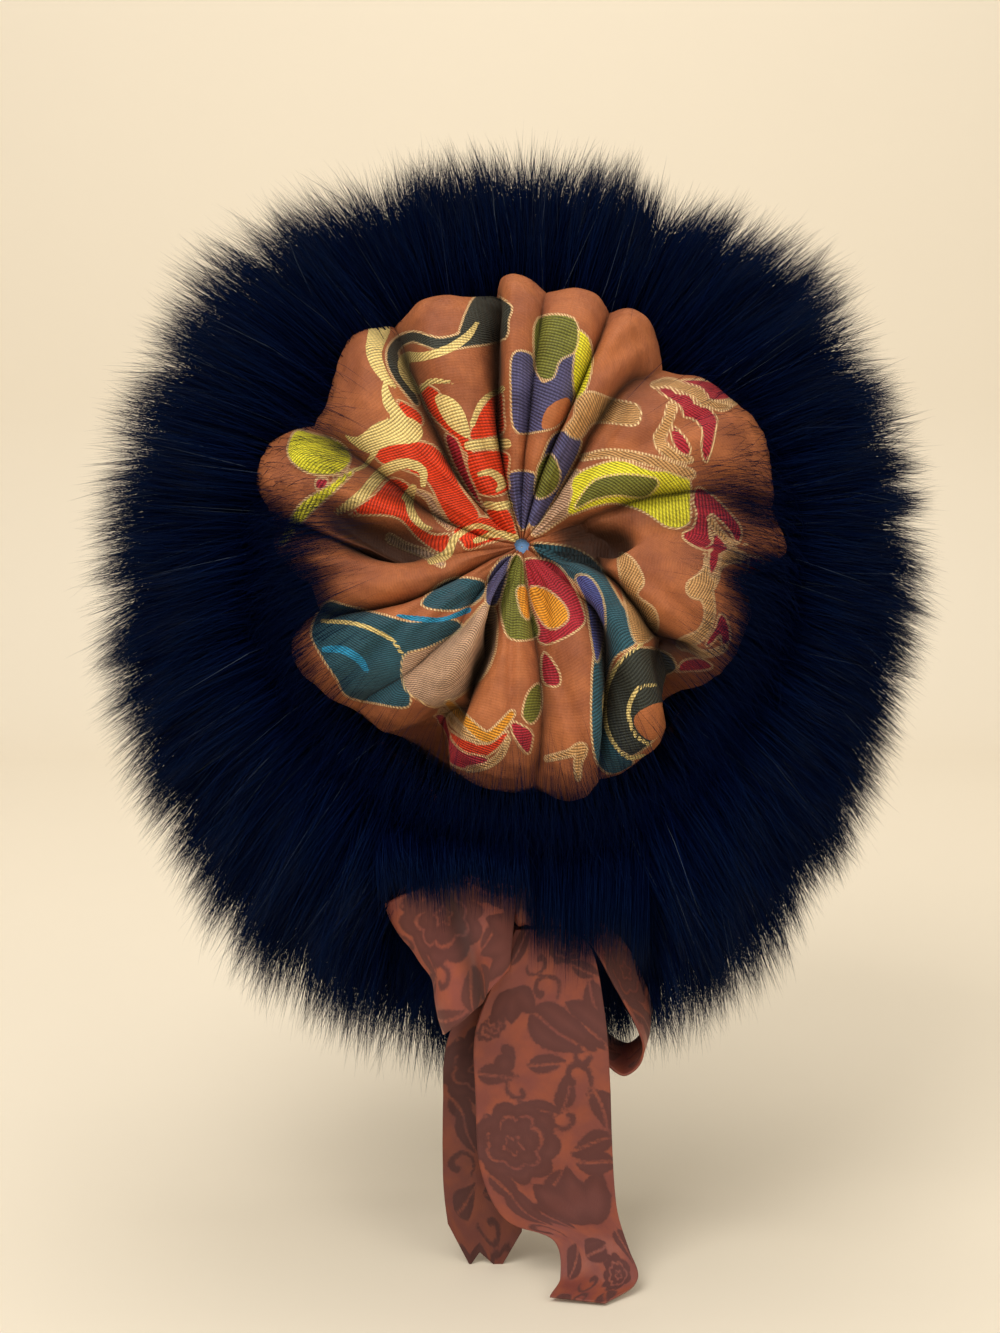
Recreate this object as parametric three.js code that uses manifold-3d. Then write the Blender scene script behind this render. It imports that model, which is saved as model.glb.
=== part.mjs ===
// Fur-trimmed hat: a gathered brocade crown with a blue lining, set in a deep black fur ring, with a
// damask ribbon that lies in the groove between them and hangs from the nape in a bow with two tails.
// Millimetres, +Z up. The crown faces -Y, +X is to the right of someone who looks at the crown, and the
// origin is the middle of the head opening, where a head holds the hat.

import * as THREE from 'three';
import { mergeVertices } from 'three/addons/utils/BufferGeometryUtils.js';
import Module from 'manifold-3d';

const wasm = await Module();
wasm.setup();

// The hat leans back on the head: its crown axis points 18 degrees above the horizontal
const CROWN_AXIS_ELEVATION = 18;
const SEAT_GAP = 0.4;

// Side band of the crown, an oval round the head opening
const BAND_HALF_WIDTH = 82;
const BAND_HALF_HEIGHT = 99;
const OPENING_CENTRE_Y = -6;

// Crown cloth
const CROWN_WALL = 2;
const HOLE_RADIUS = 5;
const FOLD_DEPTH = 17;
const COLUMNS_PER_PLEAT = 5;

// Lining
const LINING_WALL = 1.2;
const LINING_COLUMNS = 32;

// Fur roll and its locks
const ROLL_HALF_WIDTH = 35;
const ROLL_HALF_DEPTH = 47.5;
const ROLL_MIDDLE_Z = 48;
const ROLL_SECTIONS = 48;
const ROLL_SIDES = 12;
const LOCK_ROOT_DEPTH = 5;
const LOCK_SAG = 7;
const LOCK_TIP_MARGIN = 5;
const NAPE_CLEARANCE_X = 76;
const NAPE_CLEARANCE_Y = -70;

// Ribbon
const RIBBON_THICKNESS = 1.2;
const BAND_STRIP_THICKNESS = 1.6;
const BAND_STRIP_HALF_ANGLE = 11.5;
const BAND_STRIP_SECTIONS = 52;
const KNOT_CENTRE = new THREE.Vector3(8, -153, -118);
const KNOT_WIDTH = 26;
const KNOT_DEPTH = 14;
const KNOT_HEIGHT = 24;

// Reach of the puffed crown from its axis, round the widest part; 0 degrees is +X, 90 is up
const CROWN_OUTLINE = [
  { angle: 0, reach: 118 }, { angle: 12, reach: 116 }, { angle: 28, reach: 120 },
  { angle: 50, reach: 108 }, { angle: 69, reach: 127 }, { angle: 79, reach: 122 },
  { angle: 90, reach: 127 }, { angle: 110, reach: 118 }, { angle: 128, reach: 125 },
  { angle: 141, reach: 113 }, { angle: 160, reach: 122 }, { angle: 175, reach: 114 },
  { angle: 190, reach: 96 }, { angle: 211, reach: 104 }, { angle: 228, reach: 101 },
  { angle: 245, reach: 97 }, { angle: 270, reach: 113 }, { angle: 290, reach: 114 },
  { angle: 307, reach: 102 }, { angle: 320, reach: 95 }, { angle: 334, reach: 108 },
  { angle: 348, reach: 104 },
];

// Creases of the gathered crown: their angle at the hole, half way out and at the rim, and how deep each is
const CREASES = [
  { hole: -30, half: -48, rim: -70, depth: 1.0 },
  { hole: 0, half: -14, rim: -41, depth: 1.25 },
  { hole: 26, half: 21, rim: 6, depth: 0.8 },
  { hole: 57, half: 60, rim: 45, depth: 1.0 },
  { hole: 80, half: 70, rim: 72, depth: 0.8 },
  { hole: 93, half: 86, rim: 84, depth: 0.4 },
  { hole: 104, half: 99, rim: 96, depth: 1.0 },
  { hole: 135, half: 128, rim: 124, depth: 0.9 },
  { hole: 170, half: 157, rim: 148, depth: 0.7 },
  { hole: 191, half: 194, rim: 176, depth: 1.25 },
  { hole: 205, half: 208, rim: 209, depth: 0.8 },
  { hole: 222, half: 241, rim: 238, depth: 1.0 },
  { hole: 246, half: 256, rim: 262, depth: 0.9 },
  { hole: 277, half: 278, rim: 273, depth: 0.6 },
];

// Levels of the crown cloth from the head opening up to the hole: height, how far the side band's oval has
// turned into the puffed outline, share of the full radius, and share of the full fold depth
const CROWN_LEVELS = [
  { z: 0, puff: 0, radius: 1, fold: 0 },
  { z: 79, puff: 0, radius: 1, fold: 0 },
  { z: 91, puff: 0.14, radius: 1, fold: 0.02 },
  { z: 101, puff: 0.5, radius: 1, fold: 0.12 },
  { z: 112, puff: 0.88, radius: 1, fold: 0.25 },
  { z: 125, puff: 1, radius: 1, fold: 0.4 },
  { z: 138, puff: 1, radius: 0.95, fold: 0.75 },
  { z: 148, puff: 1, radius: 0.82, fold: 1 },
  { z: 151, puff: 1, radius: 0.63, fold: 1 },
  { z: 148, puff: 1, radius: 0.45, fold: 0.85 },
  { z: 141, puff: 1, radius: 0.28, fold: 0.58 },
  { z: 133, puff: 1, radius: 0.14, fold: 0.3 },
  { z: 127, puff: 1, radius: 0.045, fold: 0 },
];

// Levels of the lining: height and share of the oval
const LINING_LEVELS = [
  { z: 1, share: 1 },
  { z: 62, share: 1 },
  { z: 88, share: 0.91 },
  { z: 105, share: 0.7 },
  { z: 117, share: 0.42 },
  { z: 122, share: 0.17 },
];
const LINING_APEX_Z = 123.5;

// Reach of the fur's outline from the crown axis
const FUR_OUTLINE = [
  { angle: 0, reach: 207 }, { angle: 28, reach: 215 }, { angle: 44, reach: 226 },
  { angle: 60, reach: 222 }, { angle: 68, reach: 211 }, { angle: 77, reach: 224 },
  { angle: 105, reach: 222 }, { angle: 137, reach: 226 }, { angle: 153, reach: 217 },
  { angle: 184, reach: 213 }, { angle: 214, reach: 219 }, { angle: 240, reach: 241 },
  { angle: 262, reach: 247 }, { angle: 284, reach: 240 }, { angle: 298, reach: 236 },
  { angle: 313, reach: 214 }, { angle: 341, reach: 202 },
];

// Rows of locks: place round the roll's section (0 = outward, 90 = crown side), number of locks, share of the
// outline's reach, lean towards the crown side, and half width at the root
const LOCK_ROWS = [
  { place: -72, count: 20, share: 0.86, lean: -30, girth: 18 },
  { place: -36, count: 24, share: 0.95, lean: -16, girth: 19 },
  { place: 0, count: 28, share: 1, lean: 3, girth: 19 },
  { place: 36, count: 26, share: 0.97, lean: 22, girth: 19 },
  { place: 74, count: 23, share: 0.88, lean: 40, girth: 17 },
];
const LOCK_SHOULDER = { along: 0.6, width: 0.84, thickness: 0.5 };

// Stations of each hanging ribbon, in order along the cloth: one edge, then the other edge, as x, y, z
const LEFT_LOOP = [
  { upper: [-5.6, -156, -109], lower: [-5.6, -157, -127] },
  { upper: [-27, -157, -103], lower: [-15, -160, -149] },
  { upper: [-50, -157, -109], lower: [-28, -163, -166] },
  { upper: [-59, -163, -116], lower: [-33, -169, -174] },
  { upper: [-51, -171, -110], lower: [-28, -179, -167] },
  { upper: [-29, -173, -102], lower: [-16, -177, -156] },
  { upper: [-2, -161.8, -106], lower: [-6, -164, -147] },
];
const RIGHT_LOOP = [
  { upper: [21.6, -159, -124], lower: [21.6, -154, -120] },
  { upper: [34, -161, -142], lower: [42, -149, -134] },
  { upper: [47, -161, -166], lower: [55, -142, -158] },
  { upper: [55, -160, -187], lower: [60, -134, -180] },
  { upper: [46, -158, -199], lower: [50, -130, -194] },
  { upper: [33, -156, -186], lower: [35, -136, -180] },
  { upper: [25, -155, -158], lower: [26, -144, -152] },
];
const FRONT_TAIL = [
  { upper: [-3, -157, -130.6], lower: [19, -156, -130.6] },
  { upper: [-10, -161, -147], lower: [31, -160, -139] },
  { upper: [-21, -162, -176], lower: [37, -163, -168] },
  { upper: [-21, -164, -207], lower: [39.5, -165, -200] },
  { upper: [-19, -166, -239], lower: [41, -166, -236] },
  { upper: [-8, -168, -262], lower: [43, -169, -258] },
  { upper: [14, -172, -271], lower: [48, -175, -274] },
  { upper: [17, -182, -283], lower: [51, -185, -284] },
  { upper: [12, -194, -287], lower: [36, -198, -288] },
];
const BACK_TAIL = [
  { upper: [-3, -150, -130.6], lower: [19, -150, -130.6] },
  { upper: [-20, -152, -152], lower: [22, -151, -150] },
  { upper: [-34, -154, -184], lower: [12, -153, -182] },
  { upper: [-36, -155, -214], lower: [4, -154, -212] },
  { upper: [-36, -156, -250], lower: [1, -155, -248] },
  { upper: [-34, -156, -270], lower: [0, -156, -272] },
];
// How far the back tail's cut end hangs below its last station, across its width
const SWALLOW_TAIL = [
  { across: 0, drop: 0 }, { across: 0.33, drop: 19 }, { across: 0.45, drop: 15 },
  { across: 0.68, drop: 18 }, { across: 1, drop: 0 },
];

const MATERIALS = {
  brocade: new THREE.MeshStandardMaterial({ color: 0x9f653c, roughness: 0.6, metalness: 0 }),
  lining: new THREE.MeshStandardMaterial({ color: 0x7fb0e6, roughness: 0.5, metalness: 0 }),
  fur: new THREE.MeshStandardMaterial({ color: 0x0a0d1c, roughness: 0.7, metalness: 0 }),
  ribbon: new THREE.MeshStandardMaterial({ color: 0x82473b, roughness: 0.55, metalness: 0 }),
};

const radians = (degrees) => (degrees * Math.PI) / 180;
const mix = (a, b, share) => a + (b - a) * share;

// A repeatable number from -1 to 1 for item i of series s
function scatter(i, s) {
  const wave = Math.sin(i * 12.9898 + s * 78.233) * 43758.5453;
  return 2 * (wave - Math.floor(wave)) - 1;
}

// Reads a table of angle and reach round the full circle, easing from row to row
function reachAt(table, degrees) {
  const turn = ((degrees % 360) + 360) % 360;
  const next = table.findIndex((row) => row.angle > turn);
  const after = next < 0 ? table[0] : table[next];
  const before = next < 0 ? table[table.length - 1] : table[Math.max(next - 1, 0)];
  const span = (next < 0 ? 360 : after.angle) - before.angle;
  const share = span > 0 ? (turn - before.angle) / span : 0;
  return mix(before.reach, after.reach, (1 - Math.cos(Math.PI * share)) / 2);
}

// A point of the side band's oval, moved outward along the oval's normal
function ovalPoint(angle, outward) {
  const normal = new THREE.Vector2(Math.cos(angle) * BAND_HALF_HEIGHT, Math.sin(angle) * BAND_HALF_WIDTH);
  normal.normalize().multiplyScalar(outward);
  return new THREE.Vector2(
    BAND_HALF_WIDTH * Math.cos(angle) + normal.x,
    OPENING_CENTRE_Y + BAND_HALF_HEIGHT * Math.sin(angle) + normal.y,
  );
}

// Closed surface from rings of points that run round a loop: it winds from the first ring to the last and,
// when the rings form a tube, back to the first
function ringSurface(rings, closesOnItself) {
  const columns = rings[0].length;
  const positions = rings.flat().flatMap((point) => [point.x, point.y, point.z]);
  const index = [];
  const last = closesOnItself ? rings.length : rings.length - 1;
  for (let row = 0; row < last; row += 1) {
    const nextRow = (row + 1) % rings.length;
    for (let column = 0; column < columns; column += 1) {
      const nextColumn = (column + 1) % columns;
      const a = row * columns + column;
      const b = row * columns + nextColumn;
      const c = nextRow * columns + nextColumn;
      const d = nextRow * columns + column;
      index.push(a, b, c, a, c, d);
    }
  }
  return { positions, index, columns };
}

function toGeometry({ positions, index }) {
  const geometry = new THREE.BufferGeometry();
  geometry.setAttribute('position', new THREE.Float32BufferAttribute(positions, 3));
  geometry.setIndex(index);
  geometry.computeVertexNormals();
  return geometry;
}

// Turns every face of a closed surface over, where it was wound inside out
function facingOut(surface) {
  const { positions, index } = surface;
  const at = (i) => new THREE.Vector3().fromArray(positions, 3 * i);
  let volume = 0;
  for (let i = 0; i < index.length; i += 3) {
    volume += at(index[i]).dot(at(index[i + 1]).cross(at(index[i + 2])));
  }
  if (volume < 0) {
    for (let i = 0; i < index.length; i += 3) {
      [index[i], index[i + 1]] = [index[i + 1], index[i]];
    }
  }
  return surface;
}

// Angle of a crease at a level of the crown, from its three table angles
function creaseAngle(crease, radiusShare) {
  const half = 0.45;
  if (radiusShare <= half) {
    return mix(crease.hole, crease.half, radiusShare / half);
  }
  return mix(crease.half, crease.rim, (radiusShare - half) / (1 - half));
}

// Outward direction of a level's unfolded profile, as radial and upward parts
function levelNormal(levels, row, radiusOf) {
  const before = levels[Math.max(row - 1, 0)];
  const after = levels[Math.min(row + 1, levels.length - 1)];
  const radial = radiusOf(after) - radiusOf(before);
  const upward = after.z - before.z;
  return new THREE.Vector2(upward, -radial).normalize();
}

// Gathered crown: pleats run from the hole to the rim between creases, and puff out between them
function makeCrown() {
  const rings = { outer: [], inner: [] };
  CROWN_LEVELS.forEach((level, row) => {
    const outer = [];
    const inner = [];
    CREASES.forEach((crease, i) => {
      const next = CREASES[(i + 1) % CREASES.length];
      const turn = i === CREASES.length - 1 ? 360 : 0;
      for (let step = 0; step < COLUMNS_PER_PLEAT; step += 1) {
        const share = step / COLUMNS_PER_PLEAT;
        const from = creaseAngle(crease, level.radius);
        const to = creaseAngle(next, level.radius) + turn;
        const degrees = mix(from, to, share);
        const puffing = 1 - Math.abs(2 * share - 1) ** 2.2;
        const creaseDepth = mix(crease.depth, next.depth, share);
        const sink = FOLD_DEPTH * level.fold * creaseDepth * (1 - puffing);
        const angle = radians(degrees);
        const band = ovalPoint(angle, 0);
        const puffed = reachAt(CROWN_OUTLINE, degrees);
        const radiusOf = (one) => one.radius * mix(band.length(), puffed, one.puff);
        const normal = levelNormal(CROWN_LEVELS, row, radiusOf);
        const direction = new THREE.Vector2(
          mix(band.x, puffed * Math.cos(angle), level.puff),
          mix(band.y, puffed * Math.sin(angle), level.puff),
        );
        const radius = Math.max(level.radius * direction.length(), HOLE_RADIUS);
        direction.normalize();
        for (const [list, inset] of [[outer, sink], [inner, sink + CROWN_WALL]]) {
          const r = radius - normal.x * inset;
          list.push(new THREE.Vector3(direction.x * r, direction.y * r, level.z - normal.y * inset));
        }
      }
    });
    rings.outer.push(outer);
    rings.inner.push(inner);
  });
  return toGeometry(facingOut(ringSurface([...rings.outer, ...rings.inner.reverse()], true)));
}

// Lining: a smooth oval dome just inside the side band, closed at its top under the hole
function makeLining() {
  const surfaceRings = (inset) => LINING_LEVELS.map((level, row) => {
    const halfWidth = BAND_HALF_WIDTH - CROWN_WALL - SEAT_GAP;
    const halfHeight = BAND_HALF_HEIGHT - CROWN_WALL - SEAT_GAP;
    const normal = levelNormal(LINING_LEVELS, row, (one) => one.share * halfWidth);
    return Array.from({ length: LINING_COLUMNS }, (_, column) => {
      const angle = (2 * Math.PI * column) / LINING_COLUMNS;
      return new THREE.Vector3(
        (halfWidth * level.share - normal.x * inset) * Math.cos(angle),
        OPENING_CENTRE_Y * level.share + (halfHeight * level.share - normal.x * inset) * Math.sin(angle),
        level.z - normal.y * inset,
      );
    });
  });
  const outer = surfaceRings(0);
  const inner = surfaceRings(LINING_WALL);
  const surface = ringSurface([...outer.reverse(), ...inner], false);
  const innerTop = surface.positions.length / 3 - LINING_COLUMNS;
  const caps = [
    { first: 0, apexZ: LINING_APEX_Z, flipped: false },
    { first: innerTop, apexZ: LINING_APEX_Z - LINING_WALL, flipped: true },
  ];
  for (const { first, apexZ, flipped } of caps) {
    const apex = surface.positions.length / 3;
    surface.positions.push(0, 0, apexZ);
    for (let column = 0; column < LINING_COLUMNS; column += 1) {
      const here = first + column;
      const there = first + ((column + 1) % LINING_COLUMNS);
      surface.index.push(...(flipped ? [here, there, apex] : [there, here, apex]));
    }
  }
  return toGeometry(facingOut(surface));
}

// A point on the fur roll: angle round the hat, place round the roll's section, and lift off its skin
function rollPoint(angle, place, lift) {
  const outward = SEAT_GAP + ROLL_HALF_WIDTH + (ROLL_HALF_WIDTH + lift) * Math.cos(place);
  const flat = ovalPoint(angle, outward);
  return new THREE.Vector3(flat.x, flat.y, ROLL_MIDDLE_Z + (ROLL_HALF_DEPTH + lift) * Math.sin(place));
}

function makeRoll() {
  const rings = Array.from({ length: ROLL_SECTIONS }, (_, section) => {
    const angle = (2 * Math.PI * section) / ROLL_SECTIONS;
    const placeOf = (side) => (2 * Math.PI * side) / ROLL_SIDES;
    return Array.from({ length: ROLL_SIDES }, (_, side) => rollPoint(angle, placeOf(side), 0));
  });
  return facingOut(ringSurface(rings, true));
}

// One lock: a flat four-sided strip that grows out of the roll, bends down a little and ends in a point
function makeLock(root, tip, side, girth) {
  const along = tip.clone().sub(root);
  const across = new THREE.Vector3().crossVectors(along, side).normalize();
  const shoulder = root.clone().lerp(tip, LOCK_SHOULDER.along);
  shoulder.z += girth * 0.15;
  shoulder.y += girth * 0.15;
  const ringAt = (centre, width) => [
    centre.clone().addScaledVector(side, width),
    centre.clone().addScaledVector(across, width * LOCK_SHOULDER.thickness),
    centre.clone().addScaledVector(side, -width),
    centre.clone().addScaledVector(across, -width * LOCK_SHOULDER.thickness),
  ];
  const surface = ringSurface([ringAt(root, girth), ringAt(shoulder, girth * LOCK_SHOULDER.width)], false);
  surface.positions.push(tip.x, tip.y, tip.z);
  surface.index.push(4, 5, 8, 5, 6, 8, 6, 7, 8, 7, 4, 8, 0, 2, 1, 0, 3, 2);
  return facingOut(surface);
}

// Where each lock starts and ends; none grows on the crown side of the nape, where the bow presses the fur
function placeLocks() {
  const locks = [];
  LOCK_ROWS.forEach((row, series) => {
    for (let i = 0; i < row.count; i += 1) {
      const turn = i + 0.5 * (series % 2) + 0.22 * scatter(i, series);
      const angle = (2 * Math.PI * turn) / row.count;
      const place = radians(row.place + 5 * scatter(i, series + 10));
      const root = rollPoint(angle, place, -LOCK_ROOT_DEPTH);
      if (row.place > 0 && Math.abs(root.x) < NAPE_CLEARANCE_X && root.y < NAPE_CLEARANCE_Y) {
        continue;
      }
      const round = Math.atan2(root.y, root.x);
      const outline = reachAt(FUR_OUTLINE, THREE.MathUtils.radToDeg(round)) - LOCK_TIP_MARGIN;
      const reach = outline * (row.share - 0.025 * (1 + scatter(i, series + 20)));
      const length = reach - Math.hypot(root.x, root.y);
      const tip = new THREE.Vector3(
        reach * Math.cos(round),
        reach * Math.sin(round) - LOCK_SAG * Math.abs(Math.cos(round)),
        root.z + length * Math.tan(radians(row.lean)),
      );
      const side = new THREE.Vector3(-Math.sin(round), Math.cos(round), 0);
      locks.push(makeLock(root, tip, side, row.girth));
    }
  });
  return locks;
}

// A closed surface as a solid that can be joined
function toSolid(surface) {
  const geometry = toGeometry(surface);
  geometry.deleteAttribute('normal');
  const merged = mergeVertices(geometry);
  return new wasm.Manifold(new wasm.Mesh({
    numProp: 3,
    vertProperties: new Float32Array(merged.attributes.position.array),
    triVerts: new Uint32Array(merged.index.array),
  }));
}

function fromSolid(solid) {
  const { vertProperties, triVerts, numProp } = solid.getMesh();
  const positions = [];
  for (let i = 0; i < vertProperties.length; i += numProp) {
    positions.push(vertProperties[i], vertProperties[i + 1], vertProperties[i + 2]);
  }
  return toGeometry({ positions, index: Array.from(triVerts) });
}

function makeFur() {
  const solid = placeLocks().reduce((body, lock) => body.add(toSolid(lock)), toSolid(makeRoll()));
  return fromSolid(solid);
}

// Closed bar from a row of equal sections, with a flat face at each end
function makeBar(sections) {
  const surface = ringSurface(sections, false);
  const sides = sections[0].length;
  const lastRing = (sections.length - 1) * sides;
  for (let side = 1; side < sides - 1; side += 1) {
    surface.index.push(0, side + 1, side, lastRing, lastRing + side, lastRing + side + 1);
  }
  return facingOut(surface);
}

// The ribbon's hidden stretch: it lies in the groove between crown and fur, and at the nape it rides up over
// the pressed fur to both sides of the knot
function makeRibbonBand(knot) {
  const nape = -Math.PI / 2;
  const atKnot = { place: 70, lift: 15.5 };
  const inGroove = { place: 121, lift: 1.4 };
  const sideOf = (x) => Math.acos(x / (BAND_HALF_WIDTH + ROLL_HALF_WIDTH + atKnot.lift));
  const reachX = KNOT_WIDTH / 2 + SEAT_GAP;
  const start = -sideOf(knot.x + reachX);
  const end = 2 * Math.PI - sideOf(knot.x - reachX);
  const sections = [];
  for (let i = 0; i <= BAND_STRIP_SECTIONS; i += 1) {
    const angle = mix(start, end, i / BAND_STRIP_SECTIONS);
    const fromNape = Math.min(Math.abs(angle - nape), Math.abs(angle - nape - 2 * Math.PI));
    const rise = Math.max(0, 1 - fromNape / radians(34)) ** 1.3;
    const place = mix(inGroove.place, atKnot.place, Math.min(1, rise * 1.25));
    const lift = mix(inGroove.lift, atKnot.lift, Math.min(1, rise * 1.25));
    const low = radians(place - BAND_STRIP_HALF_ANGLE);
    const high = radians(place + BAND_STRIP_HALF_ANGLE);
    sections.push([
      rollPoint(angle, low, lift),
      rollPoint(angle, high, lift),
      rollPoint(angle, high, lift + BAND_STRIP_THICKNESS),
      rollPoint(angle, low, lift + BAND_STRIP_THICKNESS),
    ]);
  }
  return toGeometry(makeBar(sections));
}

// Knot: a plump cushion of folded ribbon, waisted in the middle, with a flat face at each side
function makeKnot() {
  const sides = 12;
  const sections = [-1, -0.55, 0, 0.55, 1].map((across) => {
    const swell = 0.9 + 0.1 * Math.abs(across) * (2 - Math.abs(across));
    return Array.from({ length: sides }, (_, side) => {
      const angle = (2 * Math.PI * (side + 0.5)) / sides;
      return new THREE.Vector3(
        (across * KNOT_WIDTH) / 2,
        Math.sign(Math.cos(angle)) * Math.abs(Math.cos(angle)) ** 0.7 * (KNOT_DEPTH / 2) * swell,
        Math.sign(Math.sin(angle)) * Math.abs(Math.sin(angle)) ** 0.7 * (KNOT_HEIGHT / 2) * swell,
      );
    });
  });
  return toGeometry(makeBar(sections));
}

// A length of ribbon through its stations, with soft waves along it and, where asked, a cut end
function makeRibbon(stations, { steps = 2, columns = 4, wave = 1.2, cutEnd = null }) {
  const pointsOf = (name) => stations.map((one) => new THREE.Vector3(...one[name]));
  const edge = (name) => new THREE.CatmullRomCurve3(pointsOf(name));
  const upper = edge('upper');
  const lower = edge('lower');
  const rows = steps * (stations.length - 1);
  const grid = [];
  for (let row = 0; row <= rows; row += 1) {
    const from = upper.getPoint(row / rows);
    const to = lower.getPoint(row / rows);
    const pointOf = (column) => from.clone().lerp(to, column / columns);
    grid.push(Array.from({ length: columns + 1 }, (_, column) => pointOf(column)));
  }
  if (cutEnd) {
    grid[rows] = cutEnd.map(({ across, drop }) => {
      const point = upper.getPoint(1).lerp(lower.getPoint(1), across);
      point.z -= drop;
      return point;
    });
  }
  const normals = grid.map((line, row) => line.map((_, column) => {
    const along = grid[Math.min(row + 1, rows)][column].clone().sub(grid[Math.max(row - 1, 0)][column]);
    const across = line[Math.min(column + 1, columns)].clone().sub(line[Math.max(column - 1, 0)]);
    return new THREE.Vector3().crossVectors(along, across).normalize();
  }));
  const sections = grid.map((line, row) => {
    const fade = Math.min(1, row / rows * 4) * Math.min(1, (1 - row / rows) * 4);
    const side = (sign) => line.map((point, column) => {
      const bend = wave * fade * Math.sin((2 * Math.PI * column) / columns + row * 0.7);
      return point.clone().addScaledVector(normals[row][column], bend + sign * RIBBON_THICKNESS / 2);
    });
    return [...side(1), ...side(-1).reverse()];
  });
  const surface = ringSurface(sections, false);
  const ring = 2 * (columns + 1);
  const lastRing = rows * ring;
  for (let column = 0; column < columns; column += 1) {
    const under = ring - 1 - column;
    surface.index.push(column, under, column + 1, column + 1, under, under - 1);
    surface.index.push(lastRing + column, lastRing + column + 1, lastRing + under);
    surface.index.push(lastRing + column + 1, lastRing + under - 1, lastRing + under);
  }
  return toGeometry(facingOut(surface));
}

function addMesh(group, name, geometry, material) {
  const mesh = new THREE.Mesh(geometry, material);
  mesh.name = name;
  group.add(mesh);
  return mesh;
}

const hat = new THREE.Group();

// The worn hat in its own frame, with the crown axis along its +Z, leaned back to the crown axis elevation
const leaned = new THREE.Group();
leaned.rotation.x = radians(90 - CROWN_AXIS_ELEVATION);
hat.add(leaned);
leaned.updateMatrixWorld(true);
const knotInHat = leaned.worldToLocal(KNOT_CENTRE.clone());

addMesh(leaned, 'brocade_crown', makeCrown(), MATERIALS.brocade);
addMesh(leaned, 'crown_lining', makeLining(), MATERIALS.lining);
addMesh(leaned, 'fur_brim', makeFur(), MATERIALS.fur);
addMesh(leaned, 'ribbon_band', makeRibbonBand(knotInHat), MATERIALS.ribbon);

addMesh(hat, 'bow_knot', makeKnot(), MATERIALS.ribbon).position.copy(KNOT_CENTRE);
addMesh(hat, 'bow_loop_left', makeRibbon(LEFT_LOOP, { wave: 1.5 }), MATERIALS.ribbon);
addMesh(hat, 'bow_loop_right', makeRibbon(RIGHT_LOOP, { wave: 0.4 }), MATERIALS.ribbon);
addMesh(hat, 'tail_front', makeRibbon(FRONT_TAIL, { wave: 1.2 }), MATERIALS.ribbon);
addMesh(hat, 'tail_back', makeRibbon(BACK_TAIL, { wave: 1, cutEnd: SWALLOW_TAIL }), MATERIALS.ribbon);

export default hat;
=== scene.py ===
"""Looks of the fur-trimmed hat: cloth, fur, ribbon and studio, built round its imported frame.

Sizes are in millimetres in the tables and in metres on the objects. The frame's axes are +Z up, the crown
faces -Y, and +X is to the right of someone who looks at the crown.
"""

from __future__ import annotations

import logging
import math
from collections.abc import Callable
from dataclasses import dataclass, field
from enum import Enum

import bpy
import numpy as np
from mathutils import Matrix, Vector

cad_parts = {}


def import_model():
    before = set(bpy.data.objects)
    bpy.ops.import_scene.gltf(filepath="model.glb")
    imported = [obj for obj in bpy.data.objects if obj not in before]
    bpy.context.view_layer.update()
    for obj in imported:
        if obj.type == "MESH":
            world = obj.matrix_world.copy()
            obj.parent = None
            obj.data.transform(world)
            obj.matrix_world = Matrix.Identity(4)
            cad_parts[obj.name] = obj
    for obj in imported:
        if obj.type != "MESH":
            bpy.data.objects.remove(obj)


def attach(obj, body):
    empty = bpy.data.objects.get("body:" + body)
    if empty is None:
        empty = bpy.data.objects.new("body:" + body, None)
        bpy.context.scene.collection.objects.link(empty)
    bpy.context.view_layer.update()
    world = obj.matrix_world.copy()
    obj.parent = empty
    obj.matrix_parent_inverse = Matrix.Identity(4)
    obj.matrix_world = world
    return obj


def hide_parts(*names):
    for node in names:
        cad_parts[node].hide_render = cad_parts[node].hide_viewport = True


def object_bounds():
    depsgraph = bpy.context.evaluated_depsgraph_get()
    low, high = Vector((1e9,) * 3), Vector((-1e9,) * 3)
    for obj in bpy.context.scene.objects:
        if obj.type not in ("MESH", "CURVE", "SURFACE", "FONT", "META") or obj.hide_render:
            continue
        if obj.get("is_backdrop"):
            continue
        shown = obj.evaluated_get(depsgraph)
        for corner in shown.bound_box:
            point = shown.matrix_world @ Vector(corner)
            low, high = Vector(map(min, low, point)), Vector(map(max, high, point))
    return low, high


LOG = logging.getLogger("hat")

MM = 0.001
BODY = "root"

# The crown's axis points this far above the horizontal
CROWN_AXIS_ELEVATION = math.radians(18)

# The camera stands in front of the crown and looks down a little
CAMERA_PLACE = Vector((-10.0, -984.9, 104.8))
CAMERA_PITCH = math.radians(-8)
PHOTO_WIDTH = 1000
PHOTO_HEIGHT = 1333
PHOTO_FOCAL = 1900
SENSOR_HEIGHT = 36.0

# Side band of the crown, an oval round the head opening
BAND_HALF_WIDTH = 82.0
BAND_HALF_HEIGHT = 99.0
OPENING_CENTRE_Y = -6.0
SEAT_GAP = 0.4
CROWN_WALL = 2.0

# Fur roll
ROLL_HALF_WIDTH = 35.0
ROLL_HALF_DEPTH = 47.5
ROLL_MIDDLE_Z = 48.0

Array = np.ndarray
Colour = tuple[float, float, float]
Point2 = tuple[float, float]
Point3 = tuple[float, float, float]


def smooth(share: Array | float) -> Array | float:
    """Eases a share from 0 to 1 with flat ends."""
    held = np.clip(share, 0.0, 1.0)
    return held * held * (3 - 2 * held)


def mix(a: Array | float, b: Array | float, share: Array | float) -> Array | float:
    """Blends from a to b."""
    return a + (b - a) * share


def unit(vectors: Array) -> Array:
    """Scales each vector of an array to length one."""
    lengths = np.linalg.norm(vectors, axis=-1, keepdims=True)
    return vectors / np.maximum(lengths, 1e-9)


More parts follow.
